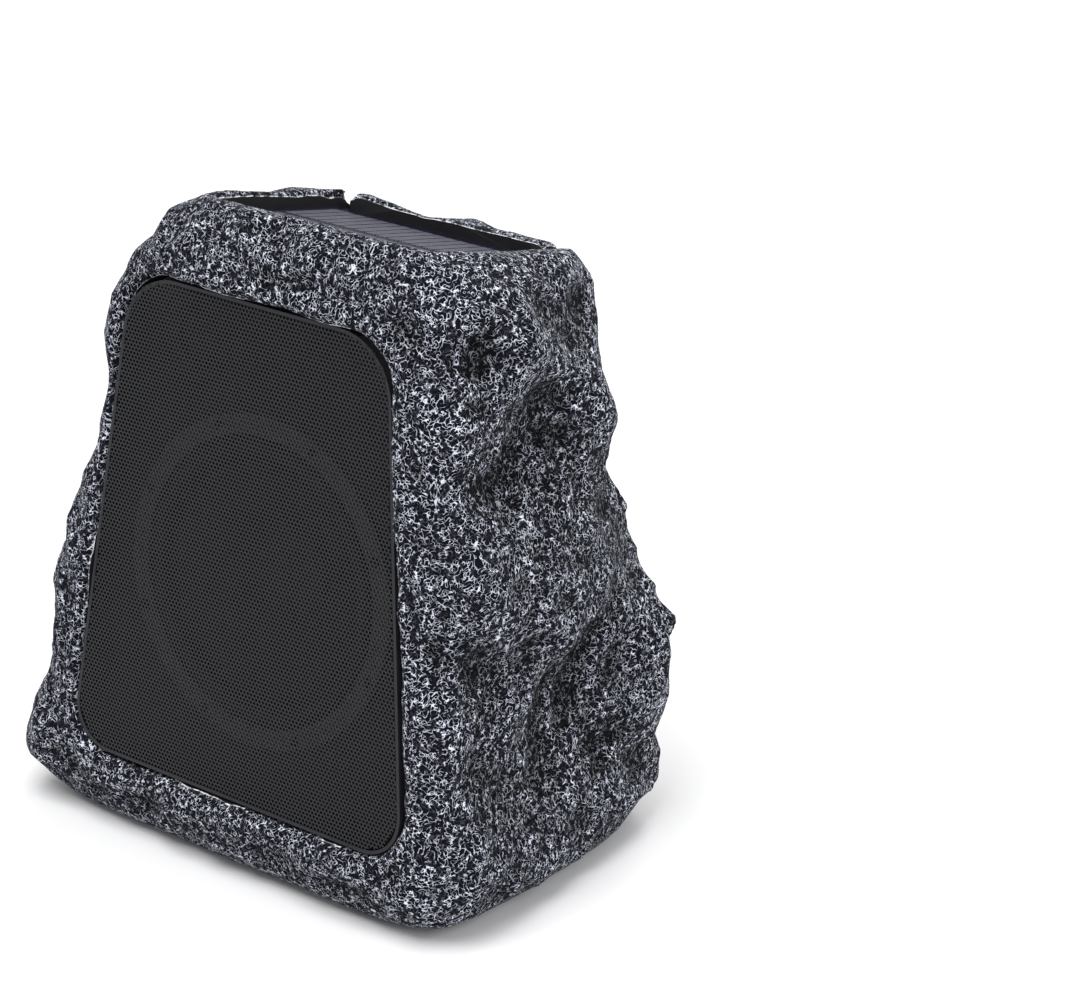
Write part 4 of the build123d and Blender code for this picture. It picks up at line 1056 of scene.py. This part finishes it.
    def mark(self, rock: Piece) -> None:
        """Store at each point how far it stands out of its surroundings, and where the rims are.

        Args:
            rock: Finished mesh of the rock.
        """
        mesh = rock.data
        count = len(mesh.vertices)
        spots, normals = Bench.rows(mesh.vertices, "co", 3), Bench.rows(mesh.vertices, "normal", 3)
        one, two = Bench.rows(mesh.edges, "vertices", 2, np.int64).T
        here, there = np.concatenate((one, two)), np.concatenate((two, one))
        degree = np.maximum(np.bincount(here, minlength=count), 1)[:, None]
        relief, smooth = np.zeros(count), spots.copy()
        for rounds, reach in self.hollows:
            for _ in range(rounds):
                total = np.stack([np.bincount(here, smooth[there, axis], count) for axis in range(3)], axis=1)
                smooth = 0.4 * smooth + 0.6 * total / degree
            height = np.einsum("ij,ij->i", spots - smooth, normals)
            relief += 0.5 * np.clip(height / reach, -1.0, 1.0)
        rim = np.zeros(count)
        kinds: dict[tuple[int, int], int] = {}
        for face in mesh.polygons:
            for key in face.edge_keys:
                if kinds.setdefault(key, face.material_index) != face.material_index:
                    rim[list(key)] = 1.0
        Bench.store(mesh, "relief", relief)
        Bench.store(mesh, "rim", rim)


@dataclass
class Grille:
    """Finely perforated sheet with a plain edge folded back to the baffle, in millimetres."""

    low_width: float = 176.0
    high_width: float = 132.0
    height: float = 199.987
    low_corner: float = 20.0
    high_corner: float = 23.0
    clearance: float = 1.0
    setback: float = 4.5
    sheet: float = 0.6
    fold: float = 10.0
    border: float = 1.4
    pitch: float = 1.75
    hole: float = 1.2

    @property
    def slope(self) -> float:
        """How much each side draws in for its height."""
        return (self.low_width - self.high_width) / 2 / self.height

    def half(self, rise: float, grow: float) -> float:
        """Half width of the outline at a height, grown all round."""
        return self.low_width / 2 - self.slope * (rise + self.height / 2) + grow * math.hypot(1.0, self.slope)

    def inside(self, x: float, y: float, grow: float) -> bool:
        """Whether a point lies in the round-cornered outline.

        Args:
            x: Millimetres to the right.
            y: Millimetres up.
            grow: Millimetres by which the outline is grown.

        Returns:
            True where it does.
        """
        top = self.height / 2 + grow
        if abs(y) > top or abs(x) > self.half(y, grow):
            return False
        corner = (self.high_corner if y > 0 else self.low_corner) + grow
        edge = top - corner
        lean = math.copysign(self.slope, y)
        middle = self.half(math.copysign(edge, y), grow) - corner * math.hypot(1.0, self.slope)
        dx, dy = abs(x) - middle, abs(y) - edge
        if dx <= 0 or dy <= 0 or dx < dy * -lean:
            return True
        return math.hypot(dx, dy) <= corner

    def build(self, palette: Palette) -> list[Piece]:
        """Model the two halves of the perforated sheet and its folded edge.

        Args:
            palette: Finishes of the object.

        Returns:
            The three pieces, in place.
        """
        pieces = [self.web("grille_lower", -1.0), self.web("grille_upper", 1.0), self.edge()]
        for piece in pieces:
            palette.dress(piece, GRILLE_BLACK)
            Bench.settle(piece, FRONT.matrix(z=-self.setback))
        return pieces

    def web(self, name: str, half: float) -> Piece:
        """One half of the perforated sheet.

        Args:
            name: Name of the piece.
            half: 1 for the upper half, -1 for the lower.

        Returns:
            Closed sheet with six-sided holes.
        """
        pitch, step = self.pitch * MM, self.pitch * MM * math.sqrt(3) / 2
        radius = self.hole / 2 * MM / math.cos(math.pi / 6)
        rows = int(self.height / 2 * MM / step) + 1
        columns = int(self.low_width / 2 * MM / pitch) + 1
        mesh = bmesh.new()
        turns = [index * math.pi / 3 for index in range(6)]
        ring = [Vector((radius * math.sin(turn), radius * math.cos(turn), 0)) for turn in turns]
        corners: dict[tuple[int, int], list[bmesh.types.BMVert]] = {}
        for row in range(0, rows) if half > 0 else range(-rows, 1):
            for column in range(-columns, columns + 1):
                middle = Vector(((column + 0.5 * (row % 2)) * pitch, row * step, 0))
                if self.inside(middle.x / MM, middle.y / MM, -self.clearance - 1.0):
                    corners[row, column] = [mesh.verts.new(middle + spot) for spot in ring]
        for (row, column), own in corners.items():
            shift = row % 2
            right = corners.get((row, column + 1))
            high_right = corners.get((row + 1, column + shift))
            high_left = corners.get((row + 1, column + shift - 1))
            if right and (row or half > 0):
                mesh.faces.new((own[1], own[2], right[4], right[5]))
            if high_right:
                mesh.faces.new((own[0], own[1], high_right[3], high_right[4]))
            if high_left:
                mesh.faces.new((own[5], own[0], high_left[2], high_left[3]))
            if high_left and high_right:
                mesh.faces.new((own[0], high_right[4], high_left[2]))
            if right and high_right:
                mesh.faces.new((own[1], right[5], high_right[3]))
        piece = Bench.placed(name, bpy.data.meshes.new(name))
        mesh.to_mesh(piece.data)
        mesh.free()
        Bench.open(piece)
        bpy.ops.mesh.select_all(action="SELECT")
        bpy.ops.mesh.delete_loose()
        Bench.close()
        if piece.data.polygons[0].normal.z < 0:
            piece.data.flip_normals()
        Bench.thicken(piece, self.sheet * MM)
        return piece

    def edge(self) -> Piece:
        """Plain border of the sheet, folded back to the baffle.

        Returns:
            Closed sheet about the origin.
        """
        top = self.height / 2 - self.clearance
        bpy.ops.mesh.primitive_plane_add(size=1.0)
        piece = Bench.added("grille_edge")
        for vertex in piece.data.vertices:
            side, end = math.copysign(1.0, vertex.co.x), math.copysign(1.0, vertex.co.y)
            vertex.co = (side * self.half(end * top, -self.clearance) * MM, end * top * MM, 0.0)
        bpy.ops.object.mode_set(mode="EDIT")
        for end, corner in ((1.0, self.high_corner), (-1.0, self.low_corner)):
            Bench.pick(piece, "verts", lambda vertex: vertex.co.y * end > 0.95 * top * MM)
            bpy.ops.mesh.bevel(offset=corner * MM, offset_type="OFFSET", segments=10, affect="VERTICES")
        bpy.ops.mesh.select_all(action="SELECT")
        bpy.ops.mesh.inset(thickness=self.border * MM)
        bpy.ops.mesh.delete(type="FACE")
        Bench.pick(piece, "edges", lambda edge: edge.is_boundary and self.outer(edge))
        bpy.ops.mesh.extrude_edges_move(TRANSFORM_OT_translate={"value": (0, 0, -self.fold * MM)})
        Bench.close()
        Bench.thicken(piece, self.sheet * MM)
        bpy.ops.object.shade_smooth_by_angle(angle=math.radians(40))
        return piece

    def outer(self, edge: bmesh.types.BMEdge) -> bool:
        """Whether an edge of the border lies on its outside."""
        middle = Bench.middle(edge) / MM
        return not self.inside(middle.x, middle.y, -self.clearance - self.border / 2)


@dataclass
class SoftRing:
    """Soft ring of the large driver, held by the cone inside and by the frame outside, in millimetres.

    The ring is cut into equal sectors, each of them a closed piece.
    """

    node: str
    slot: str
    held: float
    fixed: float
    sectors: int
    rise: float = -12.0

    def build(self, packed: Piece, palette: Palette) -> None:
        """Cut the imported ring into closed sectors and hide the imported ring.

        Args:
            packed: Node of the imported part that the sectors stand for.
            palette: Finishes of the object.
        """
        place = FRONT.matrix(y=self.rise)
        middle, half = place.translation, math.pi / self.sectors
        for index in range(self.sectors):
            turn = (2 * index + 1) * half
            piece = self.sector(packed, f"{self.node}_{index + 1}", place, turn - half, turn + half)
            palette.dress(piece, NODE_FINISHES[self.node])
            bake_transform(piece)
            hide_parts(self.node)
            LOG.info("%s: %d faces between cone and frame", piece.name, len(piece.data.polygons))

    @staticmethod
    def around(place: Matrix, turn: float) -> Vector:
        """Direction from the driver's axis at an angle in radians."""
        return place.to_3x3() @ Vector((math.cos(turn), math.sin(turn), 0.0))

    def sector(self, packed: Piece, name: str, place: Matrix, first: float, last: float) -> Piece:
        """Closed sector of the ring between two angles in radians.

        Args:
            packed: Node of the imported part.
            name: Name of the sector.
            place: Middle and axis of the driver.
            first: Angle at which the sector begins.
            last: Angle at which it ends.

        Returns:
            Sector in place.
        """
        piece = Bench.twin(packed, name)
        Bench.open(piece)
        for turn, before in ((first, True), (last, False)):
            bpy.ops.mesh.select_all(action="SELECT")
            bpy.ops.mesh.bisect(
                plane_co=place.translation,
                plane_no=self.around(place, turn + math.pi / 2),
                use_fill=True,
                clear_inner=before,
                clear_outer=not before,
                threshold=1e-6,
            )
        Bench.close()
        bpy.ops.object.shade_smooth_by_angle(angle=math.radians(40))
        return piece


@dataclass
class Marks:
    """Fine raised marks on the two buttons and the port cover, in millimetres."""

    stroke: float = 0.24
    flatness: float = 0.6
    power_radius: float = 2.7
    power_gap: float = 38.0
    wave_radii: tuple[float, ...] = (1.4, 2.9, 4.4)
    wave_half: float = 48.0
    power_bar: tuple[Point, ...] = ((0.0, 0.9), (0.0, 3.1))
    spark: tuple[Point, ...] = ((0.5, 3.4), (-0.9, 0.2), (0.9, -0.2), (-0.5, -3.4))
    power_x: float = -21.6
    pairing_x: float = -7.6
    button_y: float = -3.0
    button_top: float = 0.4
    cover_x: float = 24.7

    def build(self, palette: Palette) -> list[tuple[Piece, Body]]:
        """Model the marks.

        Args:
            palette: Finishes of the object.

        Returns:
            Pieces in place, each with the body that it rides on.
        """
        turns = np.radians(np.linspace(self.power_gap, 360 - self.power_gap, 25))
        arc = [(self.power_radius * math.sin(turn), self.power_radius * math.cos(turn)) for turn in turns]
        power = [arc, self.power_bar]
        turns = np.radians(np.linspace(-self.wave_half, self.wave_half, 11))
        middle = self.wave_radii[-1] / 2
        waves = [
            [(radius * math.cos(turn) - middle, radius * math.sin(turn)) for turn in turns]
            for radius in self.wave_radii
        ]
        made = []
        for name, strokes, spot, body in (
            ("power_mark", power, (self.power_x, self.button_y, self.button_top), Body.POWER),
            ("pairing_mark", waves, (self.pairing_x, self.button_y, self.button_top), Body.PAIRING),
            ("charge_mark", [self.spark], (self.cover_x, 0.0, 0.0), Body.FLAP),
        ):
            piece = self.drawn(name, strokes)
            palette.dress(piece, MARK_GREY)
            Bench.settle(piece, REAR.matrix(*spot))
            made.append((piece, body))
        return made

    def drawn(self, name: str, strokes: Sequence[Sequence[Point]]) -> Piece:
        """Round strokes as one closed mesh.

        Args:
            name: Name of the piece.
            strokes: Lines as points to the right and up.

        Returns:
            Mesh about the origin.
        """
        curve = bpy.data.curves.new(name, "CURVE")
        curve.dimensions = "3D"
        curve.bevel_depth = self.stroke * MM
        curve.bevel_resolution = 2
        curve.use_fill_caps = True
        for stroke in strokes:
            line = curve.splines.new("POLY")
            line.points.add(len(stroke) - 1)
            for point, (x, y) in zip(line.points, stroke):
                point.co = (x * MM, y * MM, 0.0, 1.0)
        Bench.take(Bench.placed(name, curve))
        bpy.ops.object.convert(target="MESH")
        piece = Bench.added(name)
        piece.scale = (1.0, 1.0, self.flatness)
        bpy.ops.object.transform_apply(location=True, rotation=True, scale=True)
        bpy.ops.object.shade_smooth_by_angle(angle=math.radians(50))
        return piece


@dataclass
class Stage:
    """Pale floor, soft lamps, white surroundings and the camera."""

    floor_size: float = 6.0
    floor_colour: Colour = (0.92, 0.92, 0.925)
    world_level: float = 0.46
    aim: Triple = (0.0, 0.0, 0.12)
    sensor: float = 36.0
    lens: float = 113.8
    camera_spot: Triple = (0.8263, -0.9217, 0.651)
    camera_right: Triple = (0.78351, 0.62138, 0.0)
    camera_up: Triple = (-0.24023, 0.30291, 0.92224)
    camera_back: Triple = (0.57307, -0.72258, 0.38661)

    def build(self) -> None:
        """Set up everything round the object."""
        self.floor()
        self.world()
        self.lamp("key", spot=(0.1, -0.9, 2.3), size=1.6, power=45.0)
        self.lamp("side", spot=(2.0, -0.3, 1.3), size=1.2, power=18.0)
        self.lamp("back", spot=(-0.2, 1.8, 1.8), size=1.2, power=21.0)
        self.camera()
        bpy.context.scene.view_settings.view_transform = "Standard"

    def floor(self) -> None:
        """Pale floor with the faintest mottle."""
        bpy.ops.mesh.primitive_plane_add(size=self.floor_size)
        floor = Bench.added("floor")
        graph = Graph("pale_floor")
        tone = graph.noise(3.0)
        colour = graph.toned(tone, self.floor_colour, 0.99, 1.01)
        floor.data.materials.append(graph.close(Base_Color=colour, Roughness=0.75, Specular_IOR_Level=0.2))

    def world(self) -> None:
        """White for the camera and reflections, a plain level for the light."""
        world = bpy.data.worlds.new("studio")
        bpy.context.scene.world = world
        world.use_nodes = True
        tree = world.node_tree
        back = tree.nodes["Background"]
        rays = tree.nodes.new("ShaderNodeLightPath").outputs
        seen = rays["Is Camera Ray"]
        for kind in ("Is Glossy Ray", "Is Transmission Ray"):
            either = tree.nodes.new("ShaderNodeMath")
            either.operation = "MAXIMUM"
            tree.links.new(seen, either.inputs[0])
            tree.links.new(rays[kind], either.inputs[1])
            seen = either.outputs[0]
        level = tree.nodes.new("ShaderNodeMapRange")
        level.inputs["To Min"].default_value = self.world_level
        level.inputs["To Max"].default_value = 1.0
        tree.links.new(seen, level.inputs["Value"])
        tree.links.new(level.outputs[0], back.inputs["Strength"])
        back.inputs["Color"].default_value = (1.0, 1.0, 1.0, 1.0)

    def lamp(self, name: str, spot: Triple, size: float, power: float) -> None:
        """Soft square lamp that faces the middle of the object.

        Args:
            name: Name of the lamp.
            spot: Place in metres.
            size: Side in metres.
            power: Watts.
        """
        light = bpy.data.lights.new(name, "AREA")
        light.size = size
        light.energy = power
        lamp = Bench.placed(name, light)
        lamp.location = spot
        aim = Vector(self.aim) - Vector(spot)
        lamp.rotation_euler = aim.to_track_quat("-Z", "Y").to_euler()

    def camera(self) -> None:
        """Camera at the front, above and to the right, with a long lens."""
        data = bpy.data.cameras.new("camera")
        data.sensor_fit = "HORIZONTAL"
        data.sensor_width = self.sensor
        data.lens = self.lens
        camera = Bench.placed("camera", data)
        turn = Matrix((self.camera_right, self.camera_up, self.camera_back)).transposed().to_4x4()
        camera.matrix_world = Matrix.Translation(self.camera_spot) @ turn
        bpy.context.scene.camera = camera


def ride(pieces: Iterable[Piece], body: Body) -> None:
    """Let finished pieces ride on a body and report them.

    Args:
        pieces: Finished pieces, in place.
        body: Body that they move with.
    """
    for piece in pieces:
        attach(piece, body.value)
        LOG.info("%s: %d faces on %s", piece.name, len(piece.data.polygons), body.value)


def dress_nodes(nodes: dict[str, Piece], palette: Palette) -> None:
    """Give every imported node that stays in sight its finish.

    Args:
        nodes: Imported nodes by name.
        palette: Finishes of the object.
    """
    for name, node in nodes.items():
        finish = NODE_FINISHES.get(name, SCREW_BLACK if name.endswith("_screws") else None)
        if finish is not None:
            palette.dress(node, finish)
            LOG.info("%s: %s", name, finish.name)


def main() -> None:
    """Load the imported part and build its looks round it."""
    logging.basicConfig(level=logging.INFO, format="%(name)s %(message)s")
    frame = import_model()
    palette = Palette()
    dress_nodes(frame["nodes"], palette)
    rock = Rock().build(frame["nodes"]["rock_shell"], palette)
    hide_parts("rock_shell")
    ride([rock], Body.HOUSING)
    grille = Grille().build(palette)
    for piece in grille:
        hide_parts("grille")
    ride(grille, Body.HOUSING)
    for ring in (
        SoftRing("woofer_surround", "edge_rubber", held=48.5, fixed=57.0, sectors=12),
        SoftRing("woofer_spider", "spider_cloth", held=15.0, fixed=29.5, sectors=8),
    ):
        ring.build(frame["nodes"][ring.node], palette)
    for piece, body in Marks().build(palette):
        ride([piece], body)
    Stage().build()


if __name__ == "__main__":
    main()
